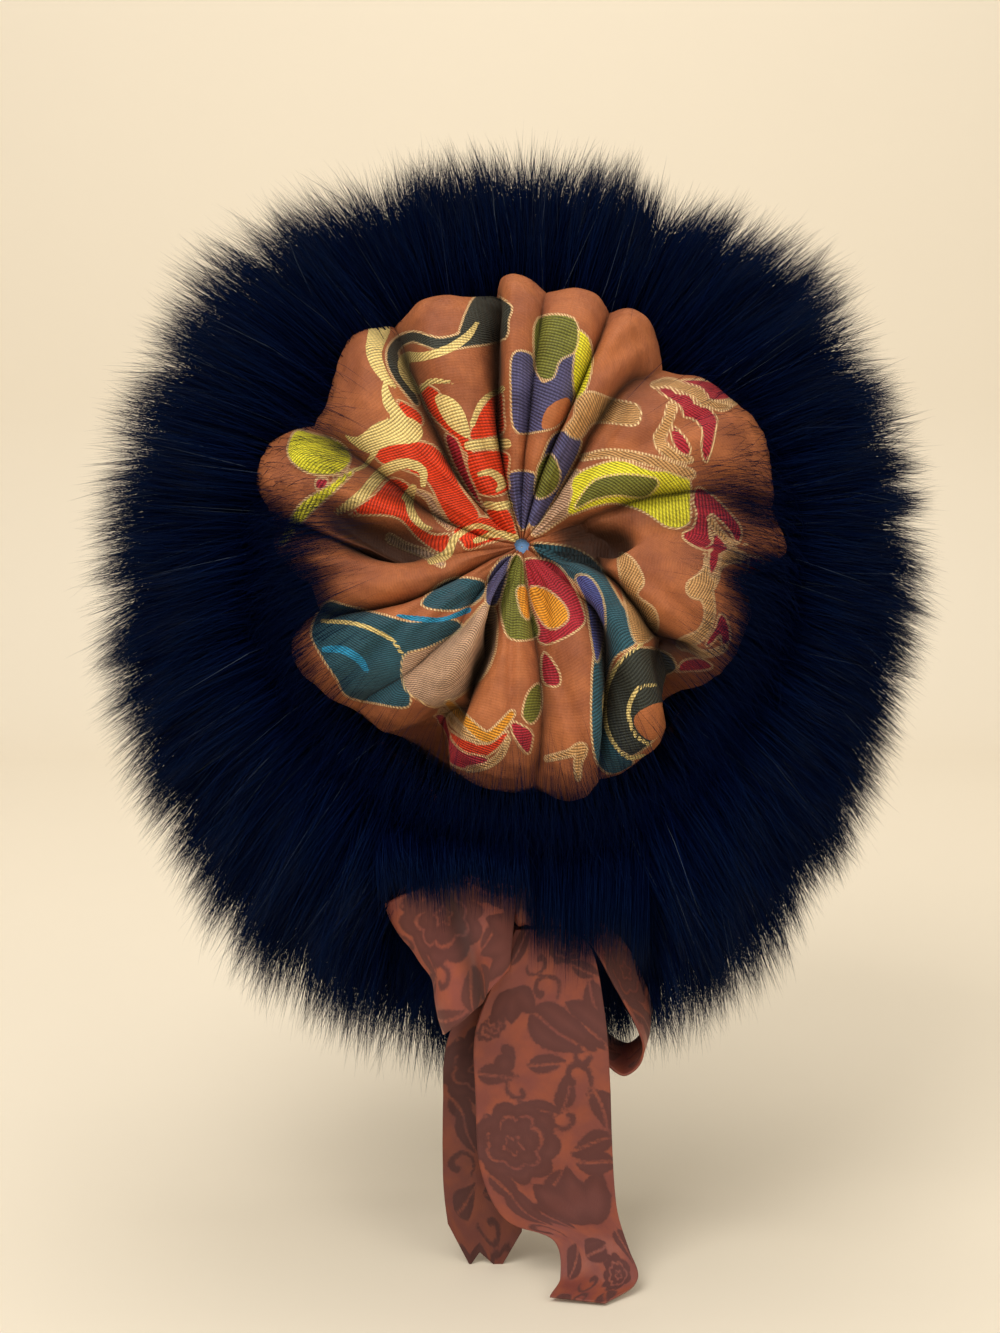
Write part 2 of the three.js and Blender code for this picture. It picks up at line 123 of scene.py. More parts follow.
def to_world(points: Array) -> Array:
    """Turns points of the leaned hat's own frame, crown axis along +Z, into the row frame."""
    sine = math.sin(CROWN_AXIS_ELEVATION)
    cosine = math.cos(CROWN_AXIS_ELEVATION)
    x, y, z = points[..., 0], points[..., 1], points[..., 2]
    return np.stack([x, sine * y - cosine * z, cosine * y + sine * z], axis=-1)


def to_photo(points: Array) -> Array:
    """Projects points into the photograph.

    Args:
        points: places in the row frame, in millimetres.
    Returns:
        Place across and down the photograph's frame of 1000 by 1333.
    """
    sine = math.sin(CAMERA_PITCH)
    cosine = math.cos(CAMERA_PITCH)
    offset = points - np.array(CAMERA_PLACE)
    depth = offset[..., 1] * cosine + offset[..., 2] * sine
    rise = -offset[..., 1] * sine + offset[..., 2] * cosine
    across = PHOTO_WIDTH / 2 + PHOTO_FOCAL * offset[..., 0] / depth
    down = PHOTO_HEIGHT / 2 - PHOTO_FOCAL * rise / depth
    return np.stack([across, down], axis=-1)


def read_table(keys: Array, values: Array, places: Array, period: float | None = None) -> Array:
    """Reads a table with smooth easing between its rows.

    Args:
        keys: rising key of each row.
        values: value of each row.
        places: keys to read.
        period: length after which the table repeats, if it does.
    Returns:
        The eased value at each place.
    """
    if period is not None:
        keys = np.concatenate([keys, [keys[0] + period]])
        values = np.concatenate([values, [values[0]]])
        places = np.mod(places - keys[0], period) + keys[0]
    row = np.clip(np.searchsorted(keys, places, side="right") - 1, 0, len(keys) - 2)
    share = (places - keys[row]) / (keys[row + 1] - keys[row])
    eased = (1 - np.cos(math.pi * np.clip(share, 0, 1))) / 2
    return values[row] + (values[row + 1] - values[row]) * eased


def spline(rows: Array, places: Array) -> Array:
    """Follows a smooth curve through table rows.

    Args:
        rows: table of shape (rows, values).
        places: fractional row numbers.
    Returns:
        Catmull-Rom values of shape (places, values).
    """
    padded = np.concatenate([rows[:1] * 2 - rows[1:2], rows, rows[-1:] * 2 - rows[-2:-1]])
    row = np.clip(np.floor(places).astype(int), 0, len(rows) - 2)
    t = (places - row)[:, None]
    p0, p1, p2, p3 = (padded[row + shift] for shift in range(4))
    return 0.5 * (
        2 * p1 + (p2 - p0) * t + (2 * p0 - 5 * p1 + 4 * p2 - p3) * t**2
        + (3 * p1 - p0 - 3 * p2 + p3) * t**3
    )


def soft_noise(points: Array, pitch: float, seed: int, waves: int = 14) -> Array:
    """Adds seeded waves into a smooth field from about -1 to 1.

    Args:
        points: places of shape (..., axes).
        pitch: rough distance between bumps.
        seed: which field.
        waves: number of waves that are added.
    Returns:
        The field at each place.
    """
    random = np.random.default_rng(seed)
    directions = unit(random.normal(size=(waves, points.shape[-1])))
    pitches = pitch * random.uniform(0.7, 1.5, waves)
    phases = random.uniform(0, 2 * math.pi, waves)
    total = np.zeros(points.shape[:-1])
    for direction, length, phase in zip(directions, pitches, phases):
        total += np.sin(points @ direction * (2 * math.pi / length) + phase)
    return total / math.sqrt(waves)


def math_operator(operation: str, reflected: bool = False) -> Callable[["Value", "Value | float"], "Value"]:
    """Makes the method that a Python operator calls on a Value.

    Args:
        operation: of the Math node.
        reflected: whether the Value stands behind the operator.
    Returns:
        The method, which adds the node.
    """
    def method(value: "Value", other: "Value | float") -> "Value":
        """Adds the Math node."""
        inputs = (other, value) if reflected else (value, other)
        return value.nodes.math(operation, *inputs)

    return method


class Value:
    """A number or colour that flows through a material's nodes, where sums on it add Math nodes."""

    def __init__(self, nodes: "NodeSpace", socket: bpy.types.NodeSocket) -> None:
        """Keeps the node space and the output socket."""
        self.nodes = nodes
        self.socket = socket

    __add__ = math_operator("ADD")
    __radd__ = math_operator("ADD", reflected=True)
    __sub__ = math_operator("SUBTRACT")
    __rsub__ = math_operator("SUBTRACT", reflected=True)
    __mul__ = math_operator("MULTIPLY")
    __rmul__ = math_operator("MULTIPLY", reflected=True)

    def sine(self) -> "Value":
        """Sine of the value in radians."""
        return self.nodes.math("SINE", self)

    def absolute(self) -> "Value":
        """Size without sign."""
        return self.nodes.math("ABSOLUTE", self)

    def highest(self, other: "Value | float") -> "Value":
        """Larger of two values."""
        return self.nodes.math("MAXIMUM", self, other)

    def ramp(self, low: float, high: float) -> "Value":
        """Share from 0 at low to 1 at high, eased and held outside."""
        node = self.nodes.node(
            "ShaderNodeMapRange", {"interpolation_type": "SMOOTHSTEP"},
            {"Value": self, "From Min": low, "From Max": high},
        )
        return Value(self.nodes, node.outputs["Result"])


class NodeSpace:
    """The nodes of one material, built round its surface shader."""

    def __init__(self, name: str) -> None:
        """Makes an empty node material of that name."""
        self.material = bpy.data.materials.new(name)
        self.material.use_nodes = True
        self.tree = self.material.node_tree
        self.tree.nodes.clear()
        self.output = self.tree.nodes.new("ShaderNodeOutputMaterial")

    def node(
        self, kind: str, settings: dict[str, object], inputs: dict[str | int, object]
    ) -> bpy.types.Node:
        """Adds one node.

        Args:
            kind: the node's type.
            settings: values of its own properties.
            inputs: a value or a Value for each input socket, by name or number.
        Returns:
            The node.
        """
        made = self.tree.nodes.new(kind)
        for key, setting in settings.items():
            setattr(made, key, setting)
        for key, value in inputs.items():
            self.feed(made.inputs[key], value)
        return made

    def feed(self, socket: bpy.types.NodeSocket, value: object) -> None:
        """Links a Value into a socket, or sets the socket's own constant.

        Args:
            socket: the input that gets it.
            value: a Value, a number, a vector, or a colour of three numbers.
        """
        if isinstance(value, Value):
            self.tree.links.new(value.socket, socket)
        elif isinstance(value, tuple) and len(value) == 3 and socket.type == "RGBA":
            socket.default_value = (*value, 1.0)
        else:
            socket.default_value = value

    def math(self, operation: str, *inputs: Value | float) -> Value:
        """Adds a Math node."""
        made = self.node("ShaderNodeMath", {"operation": operation}, dict(enumerate(inputs)))
        return Value(self, made.outputs[0])

    def attribute(self, name: str) -> Value:
        """Reads a float attribute of the mesh."""
        made = self.node("ShaderNodeAttribute", {"attribute_name": name}, {})
        return Value(self, made.outputs["Fac"])

    def position(self) -> Value:
        """Place on the object, in metres."""
        made = self.node("ShaderNodeTexCoord", {}, {})
        return Value(self, made.outputs["Object"])

    def stretched(self, place: Value, factors: Point3) -> Value:
        """Scales a place along each axis."""
        made = self.node("ShaderNodeVectorMath", {"operation": "MULTIPLY"}, {0: place, 1: factors})
        return Value(self, made.outputs["Vector"])

    def noise(self, place: Value, scale: float, detail: float = 3.0, rough: float = 0.5) -> Value:
        """Adds a noise texture's value, from 0 to 1."""
        made = self.node(
            "ShaderNodeTexNoise", {},
            {"Vector": place, "Scale": scale, "Detail": detail, "Roughness": rough},
        )
        return Value(self, made.outputs["Fac"])

    def joined(self, x: Value | float, y: Value | float, z: Value | float = 0.0) -> Value:
        """Joins three numbers into a place."""
        made = self.node("ShaderNodeCombineXYZ", {}, {"X": x, "Y": y, "Z": z})
        return Value(self, made.outputs["Vector"])

    def mixed(self, share: Value | float, a: Value | Colour, b: Value | Colour) -> Value:
        """Mixes two colours."""
        made = self.node("ShaderNodeMix", {"data_type": "RGBA"}, {0: share, 6: a, 7: b})
        return Value(self, made.outputs[2])

    def brightened(self, colour: Value | Colour, factor: Value | float) -> Value:
        """Multiplies a colour by a number."""
        made = self.node("ShaderNodeVectorMath", {"operation": "SCALE"}, {0: colour, "Scale": factor})
        return Value(self, made.outputs["Vector"])

    def bump(self, height: Value, distance: float) -> Value:
        """Turns a height into a shading normal, with its distance in metres."""
        made = self.node("ShaderNodeBump", {}, {"Height": height, "Distance": distance, "Strength": 1.0})
        return Value(self, made.outputs["Normal"])

    def finish(self, **inputs: object) -> bpy.types.Material:
        """Adds the surface shader with these inputs, by socket name with _ for a space."""
        shader = self.node(
            "ShaderNodeBsdfPrincipled", {}, {key.replace("_", " "): value for key, value in inputs.items()}
        )
        self.tree.links.new(shader.outputs[0], self.output.inputs["Surface"])
        return self.material


class Piece:
    """A mesh of the hat under construction: points in millimetres of the row frame, and its faces."""

    def __init__(self, name: str, points: Array, faces: Array) -> None:
        """Makes the mesh object.

        Args:
            name: name of the piece.
            points: vertex places, (n, 3), in millimetres.
            faces: vertex numbers, (m, 3) or (m, 4).
        """
        self.mesh = bpy.data.meshes.new(name)
        count, corners = faces.shape
        self.mesh.vertices.add(len(points))
        self.mesh.vertices.foreach_set("co", (points * MM).astype(np.float32).ravel())
        self.mesh.loops.add(count * corners)
        self.mesh.loops.foreach_set("vertex_index", faces.astype(np.int32).ravel())
        self.mesh.polygons.add(count)
        self.mesh.polygons.foreach_set("loop_start", np.arange(0, count * corners, corners, dtype=np.int32))
        self.mesh.polygons.foreach_set("use_smooth", np.ones(count, dtype=bool))
        self.mesh.update(calc_edges=True)
        self.object = bpy.data.objects.new(name, self.mesh)
        bpy.context.scene.collection.objects.link(self.object)
        self.faces = faces

    def attribute(self, name: str, values: Array) -> None:
        """Stores one float for each vertex."""
        made = self.mesh.attributes.new(name, "FLOAT", "POINT")
        made.data.foreach_set("value", values.astype(np.float32).ravel())

    def bake_map(self, places: Array) -> None:
        """Stores a flat map named OFBake, carried on past a closing seam.

        Args:
            places: one (u, v) for each vertex.
        """
        layer = self.mesh.uv_layers.new(name="OFBake")
        corners = places[self.faces]
        across = corners[..., 0]
        wraps = across.max(axis=1, keepdims=True) - across > 0.5
        corners[..., 0] = np.where(wraps, across + 1, across)
        layer.data.foreach_set("uv", corners.astype(np.float32).ravel())

    def dress(self, material: bpy.types.Material, slot: str, *nodes: str) -> bpy.types.Object:
        """Gives the piece its finish and puts it on the hat in place of CAD nodes.

        Args:
            material: its finish.
            slot: name of the material slot, not used.
            nodes: CAD nodes that it stands for.
        Returns:
            The object in the scene.
        """
        self.mesh.materials.append(material)
        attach(self.object, BODY)
        if nodes:
            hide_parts(*nodes)
        return self.object


def grid_faces(rows: int, columns: int, around: bool) -> Array:
    """Numbers the four-sided faces of a grid whose vertices run along each row.

    Args:
        rows: number of rows of vertices.
        columns: number of vertices in a row.
        around: whether each row closes on itself.
    Returns:
        Faces of shape (n, 4).
    """
    row = np.arange(rows - 1)[:, None]
    column = np.arange(columns if around else columns - 1)[None, :]
    beside = (column + 1) % columns
    corners = [row * columns + column, row * columns + beside, (row + 1) * columns + beside,
               (row + 1) * columns + column]
    return np.stack(corners, axis=-1).reshape(-1, 4)


@dataclass(frozen=True)
class Crease:
    """One gathering crease of the crown.

    Args:
        hole: its angle at the hole, in degrees.
        half: its angle half way out.
        rim: its angle at the rim.
        depth: share of the full fold depth.
        lean: how far the pleat after it leans over, as a share of its width.
        slant: slope of the ribs across that pleat.
    """

    hole: float
    half: float
    rim: float
    depth: float
    lean: float
    slant: float


@dataclass(frozen=True)
class Wrinkle:
    """One minor wrinkle of the crown cloth.

    Args:
        inner: its angle at its inner end, in degrees.
        outer: its angle at its outer end.
        start: radius share of its inner end.
        end: radius share of its outer end.
        depth: how deep it is, negative for a ridge.
        width: half width.
    """

    inner: float
    outer: float
    start: float
    end: float
    depth: float
    width: float


CREASES = (
    Crease(-30, -51, -71, 1.0, 0.05, 0.5),
    Crease(0, -28, -43, 1.35, -0.2, 0.3),
    Crease(26, 20, 9, 0.7, -0.12, -0.4),
    Crease(57, 60, 52, 0.72, 0.1, 0.4),
    Crease(80, 70, 70, 0.6, 0.0, 0.2),
    Crease(93, 87, 84, 0.45, 0.05, 0.2),
    Crease(104, 98, 97, 1.1, 0.1, 0.15),
    Crease(135, 127, 119, 0.9, 0.1, 0.5),
    Crease(170, 157, 148, 0.7, 0.15, 0.5),
    Crease(191, 190, 177, 1.35, 0.1, -0.3),
    Crease(205, 210, 195, 0.8, -0.1, -0.5),
    Crease(222, 234, 226, 0.45, 0.05, -0.3),
    Crease(243, 253, 244, 1.15, 0.0, -0.2),
    Crease(277, 278, 273, 0.6, 0.05, 0.2),
)

WRINKLES = (
    Wrinkle(2, -7, 0.1, 0.4, 24.0, 7.5),
    Wrinkle(186, 173, 0.28, 0.78, 21.0, 8.5),
    Wrinkle(8, -2, 0.35, 0.95, 3.0, 3.5),
    Wrinkle(14, 12, 0.55, 1.0, -2.5, 4.0),
    Wrinkle(38, 32, 0.45, 1.0, 3.5, 4.0),
    Wrinkle(44, 52, 0.2, 0.7, 2.2, 2.2),
    Wrinkle(66, 58, 0.6, 1.0, 3.0, 4.0),
    Wrinkle(98, 92, 0.12, 0.6, 1.6, 1.6),
    Wrinkle(112, 108, 0.15, 0.55, 2.2, 2.4),
    Wrinkle(122, 116, 0.5, 1.0, 2.6, 4.5),
    Wrinkle(150, 140, 0.1, 0.6, 3.0, 2.4),
    Wrinkle(160, 164, 0.3, 0.9, 2.4, 3.0),
    Wrinkle(180, 172, 0.2, 0.75, 2.6, 2.6),
    Wrinkle(198, 190, 0.35, 1.0, 2.2, 3.5),
    Wrinkle(216, 220, 0.3, 0.9, 3.2, 3.0),
    Wrinkle(228, 224, 0.2, 0.6, 2.0, 2.0),
    Wrinkle(252, 250, 0.4, 1.0, 3.2, 2.6),
    Wrinkle(262, 268, 0.2, 0.9, 2.6, 2.2),
    Wrinkle(284, 286, 0.5, 1.0, 3.4, 3.2),
    Wrinkle(292, 279, 0.15, 0.5, 1.8, 1.8),
    Wrinkle(312, 300, 0.3, 0.9, 2.8, 3.0),
    Wrinkle(340, 328, 0.45, 1.0, 2.8, 3.6),
)

# Reach of the puffed crown from its axis, round the widest part, by angle in degrees
CROWN_OUTLINE = (
    (0, 123), (12, 121), (30, 123), (40, 119), (52, 113), (67, 126), (80, 125), (93, 131),
    (103, 124), (125, 129), (143, 115), (160, 127), (175, 121), (191, 99), (204, 114), (216, 113),
    (231, 106), (243, 95), (253, 107), (272, 115), (286, 119), (302, 110), (316, 97), (328, 111),
    (342, 108), (350, 104),
)

# Levels of the crown cloth: height, share of the puffed outline, radius share and fold share
CROWN_LEVELS = (
    (0, 0, 1, 0), (79, 0, 1, 0), (91, 0.14, 1, 0.05), (101, 0.5, 1, 0.22), (112, 0.88, 1, 0.32),
    (125, 1, 1, 0.5), (138, 1, 0.95, 0.85), (148, 1, 0.82, 1), (151, 1, 0.63, 1), (148, 1, 0.45, 1),
    (141, 1, 0.28, 0.9), (133, 1, 0.14, 0.55), (127, 1, 0.03, 0.1),
)


@dataclass(frozen=True)
class CrownCloth:
    """The gathered crown as one sheet of brocade, hemmed at the head opening and at the hole."""

    columns_per_pleat: int = 40
    band_rows: int = 8
    front_rows: int = 132
    fold_depth: float = 20.0
    crest_power: float = 2.4
    crest_roundness: float = 0.8
    hole_radius: float = 2.4
    half_share: float = 0.45
    widest_level: float = 5.0
    hem_turn: float = 12.0
    hole_drop: float = 7.0
    dents: tuple[tuple[float, int, float], ...] = ((26.0, 5, 0.9), (9.0, 6, 0.34))
    gathers: int = 46
    gather_height: float = 0.45
    scale: float = 115.0
    dome_gap: float = 1.6
    strip_length: float = 0.205
    strip_width: float = 0.74

    def crease_angles(self, radius: Array) -> Array:
        """Follows every crease from the hole to the rim.

        Args:
            radius: radius share of each row.
        Returns:
            Angle of every crease at each row, in degrees, closed by the first one a turn later.
        """
        table = np.array([(one.hole, one.half, one.rim) for one in CREASES], dtype=float)
        table = np.concatenate([table, table[:1] + 360])
        hole, half, rim = table.T[:, None, :]
        share = radius[:, None]
        knee = self.half_share
        bend = (share / knee) * (share - 1) / (knee - 1)
        end = share * (share - knee) / (1 - knee)
        start = (share - knee) * (share - 1) / knee
        curved = hole * start + half * bend + rim * end
        straight = np.where(
            share < knee, mix(hole, half, share / knee), mix(half, rim, (share - knee) / (1 - knee))
        )
        return mix(straight, curved, 0.5)

    def surface(self, levels: Array) -> tuple[Array, dict[str, Array]]:
        """Works out the gathered surface.

        Args:
            levels: fractional row numbers of the level table, one for each row of the sheet.
        Returns:
            Points of shape (rows, columns, 3) in the leaned frame, and the cloth's own coordinates.
        """
        height, puff, radius, fold = spline(np.array(CROWN_LEVELS, dtype=float), levels).T
        puff = np.clip(puff, 0, 1)
        fold = np.clip(fold, 0, 1.02)
        radius = np.clip(radius, 0.02, 1.0)
        angles = self.crease_angles(radius)
        step = np.arange(self.columns_per_pleat) / self.columns_per_pleat
        share = mix(step, (1 - np.cos(math.pi * step)) / 2, 0.6)
        crest = (1 - np.abs(2 * share - 1) ** self.crest_power) ** self.crest_roundness
        table = [(one.depth, one.lean, one.slant) for one in (*CREASES, CREASES[0])]
        depth, lean, slant = np.array(table, dtype=float).T
        start, end = angles[:, :-1, None], angles[:, 1:, None]
        calm = fold * (1 - 0.75 * smooth((radius - 0.55) / 0.35))
        leaning = lean[:-1, None] * crest[None, :] * calm[:, None, None]
        degrees = start + (end - start) * (share[None, None, :] + leaning)
        depths = mix(depth[:-1, None], depth[1:, None], share[None, :])
        sink = self.fold_depth * fold[:, None, None] * depths[None] * (1 - crest[None, None, :])
        lateral = (share[None, None, :] - 0.5) * np.radians(end - start)
        lateral = lateral * radius[:, None, None] * self.scale
        shape = (len(levels), -1)
        degrees, sink, lateral = (part.reshape(shape) for part in (degrees, sink, lateral))
        slants = np.broadcast_to(slant[:-1, None], (len(CREASES), self.columns_per_pleat)).reshape(-1)
        plain = self.unfolded(degrees, height, puff, radius)
        ahead, behind = (self.unfolded(degrees + turn, height, puff, radius) for turn in (1.5, -1.5))
        normals = unit(np.cross(ahead - behind, np.gradient(plain, axis=0)))
        sink = sink + self.wrinkles(degrees, radius) * smooth((fold[:, None] - 0.1) / 0.3)
        # Crease depth before the lining caps it, stored as the fold attribute for the brocade's painted
        # shade in the creases.
        wanted = sink * smooth(fold * 4)[:, None]
        sink = np.minimum(sink, self.room(plain) / np.maximum(normals[..., 2], 0.35))
        points = plain - normals * sink[..., None]
        rumple = sum(soft_noise(points, pitch, seed) * size for pitch, seed, size in self.dents)
        turn = np.radians(degrees)
        near_hole = np.exp(-(((radius - 0.14) / 0.16) ** 2))[:, None]
        gathers = np.sin(self.gathers * turn + 2 * np.sin(3 * turn)) * near_hole
        rumple = rumple + self.gather_height * gathers
        points = points + normals * (rumple * smooth(fold * 2.5)[:, None])[..., None]
        steps = np.linalg.norm(np.diff(plain, axis=0), axis=-1).mean(axis=1)
        along = np.concatenate([[0.0], np.cumsum(steps)])
        along = np.broadcast_to(along[:, None], degrees.shape)
        return points, {
            "along": along, "lateral": lateral, "rib": along + slants[None, :] * lateral,
            "fold": wanted,
        }

    def unfolded(self, degrees: Array, height: Array, puff: Array, radius: Array) -> Array:
        """Works out the surface before folding.

        Args:
            degrees: angle of each point.
            height: height of each row.
            puff: share of the puffed outline in each row.
            radius: radius share of each row.
        Returns:
            Points of shape (rows, columns, 3) in the leaned frame.
        """
        angle = np.radians(degrees)
        keys, reaches = np.array(CROWN_OUTLINE, dtype=float).T
        reach = read_table(keys, reaches, degrees, 360.0)
        band_x = BAND_HALF_WIDTH * np.cos(angle)
        band_y = OPENING_CENTRE_Y + BAND_HALF_HEIGHT * np.sin(angle)
        x = mix(band_x, reach * np.cos(angle), puff[:, None])
        y = mix(band_y, reach * np.sin(angle), puff[:, None])
        length = np.hypot(x, y)
        hole = self.hole_radius * (1 + 0.28 * np.cos(2 * angle - 2.5) + 0.12 * np.cos(5 * angle))
        held = np.maximum(radius[:, None] * length, hole)
        z = np.broadcast_to(height[:, None], degrees.shape)
        return np.stack([x / length * held, y / length * held, z], axis=-1)

    def room(self, points: Array) -> Array:
        """Height of each point above the lining dome, less a small gap."""
        half = np.array([BAND_HALF_WIDTH, BAND_HALF_HEIGHT]) - CROWN_WALL - SEAT_GAP
        reach = np.hypot(points[..., 0] / half[0], points[..., 1] / half[1])
        height, share = np.array(Lining.levels[1:], dtype=float).T
        dome = np.interp(reach, share[::-1], height[::-1])
        return np.where(reach < 1, np.maximum(points[..., 2] - dome - self.dome_gap, 0.0), np.inf)

    def wrinkles(self, degrees: Array, radius: Array) -> Array:
        """Adds up the minor wrinkles.

        Args:
            degrees: angle of each point.
            radius: radius share of each row.
        Returns:
            Depth of the wrinkles at each point.
        """
        total = np.zeros(degrees.shape)
        share = np.broadcast_to(radius[:, None], degrees.shape)
        for one in WRINKLES:
            travel = (share - one.start) / (one.end - one.start)
            middle = mix(one.inner, one.outer, travel)
            apart = (degrees - middle + 180) % 360 - 180
            sideways = np.radians(apart) * share * self.scale
            fade = smooth((travel + 0.2) / 0.5) * smooth((1.2 - travel) / 0.5)
            total += one.depth * np.exp(-((sideways / one.width) ** 2)) * fade
        return total

    def build(self) -> "Piece":
        """Makes the sheet with its hems and stores the cloth's coordinates."""
        levels = np.concatenate([
            np.linspace(0, 2, self.band_rows, endpoint=False),
            np.linspace(2, len(CROWN_LEVELS) - 1, self.front_rows),
        ])
        points, cloth = self.surface(levels)
        rim, hole = points[:1], points[-1:]
        inward = np.array([1 - 1.6 / BAND_HALF_WIDTH, 1 - 1.6 / BAND_HALF_HEIGHT, 1.0])
        turned = [rim * inward + (0, 0, self.hem_turn), rim * inward + (0, 0, 0.6)]
        dropped = [hole * (0.96, 0.96, 1) - (0, 0, drop) for drop in (2.0, self.hole_drop)]
        points = np.concatenate([*turned, points, *dropped])
        rows, columns = points.shape[:2]
        for name, values in cloth.items():
            along = 0.0 if name == "fold" else 1.0
            before = [values[:1] - shift * along for shift in (14.0, 1.5)]
            after = [values[-1:] + shift * along for shift in (2.0, self.hole_drop)]
            cloth[name] = np.concatenate([*before, values, *after])
        piece = Piece("crown_cloth", to_world(points).reshape(-1, 3), grid_faces(rows, columns, True))
        for name, values in cloth.items():
            piece.attribute(name, values)
        front = len(turned) + int(np.argmin(np.abs(levels - self.widest_level)))
        Chart(points, front).store(piece)
        flat = np.stack(np.meshgrid(np.arange(columns) / columns, np.arange(rows) / rows), axis=-1)
        piece.bake_map(flat.reshape(-1, 2))
        return piece


def dye(red: int, green: int, blue: int) -> Colour:
    """Colour of a dyed yarn from its display values, as the linear colour that a shader takes."""
    shares = (channel / 255 for channel in (red, green, blue))
    return tuple(one / 12.92 if one <= 0.04045 else ((one + 0.055) / 1.055) ** 2.4 for one in shares)


class Yarn(Enum):
    """Coloured weft yarns of the brocade, from the lowest layer of figures to the highest."""

    MOSS = "moss"
    TEAL = "teal"
    SILVER = "silver"
    SLATE = "slate"
    RED = "red"
    CREAM = "cream"
    CRIMSON = "crimson"
    CHARTREUSE = "chartreuse"
    OLIVE = "olive"
    TAN = "tan"
    VIOLET = "violet"
    ORANGE = "orange"
    COPPER = "copper"
    CYAN = "cyan"


@dataclass(frozen=True)
class Blot:
    """A filled figure of the brocade, with its corners in chart squares and rounded."""

    yarn: Yarn
    corners: tuple[Point2, ...]

    def outline(self) -> Array:
        """Its corners as an array."""
        return np.array(self.corners, dtype=float)

    def distance(self, places: Array) -> Array:
        """Measures the figure.

        Args:
            places: points on the chart, (n, 2), in squares.
        Returns:
            Signed distance to the border in squares, negative inside.
        """
        corners = self.outline()
        count = len(corners)
        ring = np.concatenate([corners[-1:], corners, corners[:2]])
        line = spline(ring, np.linspace(1, count + 1, 4 * count, endpoint=False))
        ends = np.roll(line, -1, axis=0)
        nearest = np.full(len(places), np.inf)
        inside = np.zeros(len(places), dtype=bool)
        for (x0, y0), (x1, y1) in zip(line, ends):
            nearest = np.minimum(nearest, segment_distance(places, (x0, y0), (x1, y1))[0])
            crosses = (y0 > places[:, 1]) != (y1 > places[:, 1])
            rise = y1 - y0 if abs(y1 - y0) > 1e-9 else 1e-9
            inside ^= crosses & (places[:, 0] < (x1 - x0) * (places[:, 1] - y0) / rise + x0)
        return np.where(inside, -nearest, nearest)


@dataclass(frozen=True)
class Sweep:
    """A curved stroke of the brocade: points along it in chart squares, each with its width there."""

    yarn: Yarn
    stations: tuple[Point3, ...]

    def outline(self) -> Array:
        """The points along it as an array."""
        return np.array(self.stations, dtype=float)[:, :2]

    def distance(self, places: Array) -> Array:
        """Measures the figure.

        Args:
            places: points on the chart, (n, 2), in squares.
        Returns:
            Signed distance to the border in squares, negative inside.
        """
        rows = np.array(self.stations, dtype=float)
        line = spline(rows, np.linspace(0, len(rows) - 1, 5 * len(rows)))
        nearest = np.full(len(places), np.inf)
        for start, end in zip(line[:-1], line[1:]):
            apart, share = segment_distance(places, start[:2], end[:2])
            width = mix(start[2], end[2], share)
            nearest = np.minimum(nearest, apart - np.maximum(width, 0.2) / 2)
        return nearest


def segment_distance(places: Array, start: Array, end: Array) -> tuple[Array, Array]:
    """Distance of each place to a line between two points, and the share along it of the nearest point."""
    along = np.asarray(end) - np.asarray(start)
    offset = places - np.asarray(start)
    share = np.clip(offset @ along / max(float(along @ along), 1e-12), 0, 1)
    return np.linalg.norm(offset - share[:, None] * along, axis=-1), share


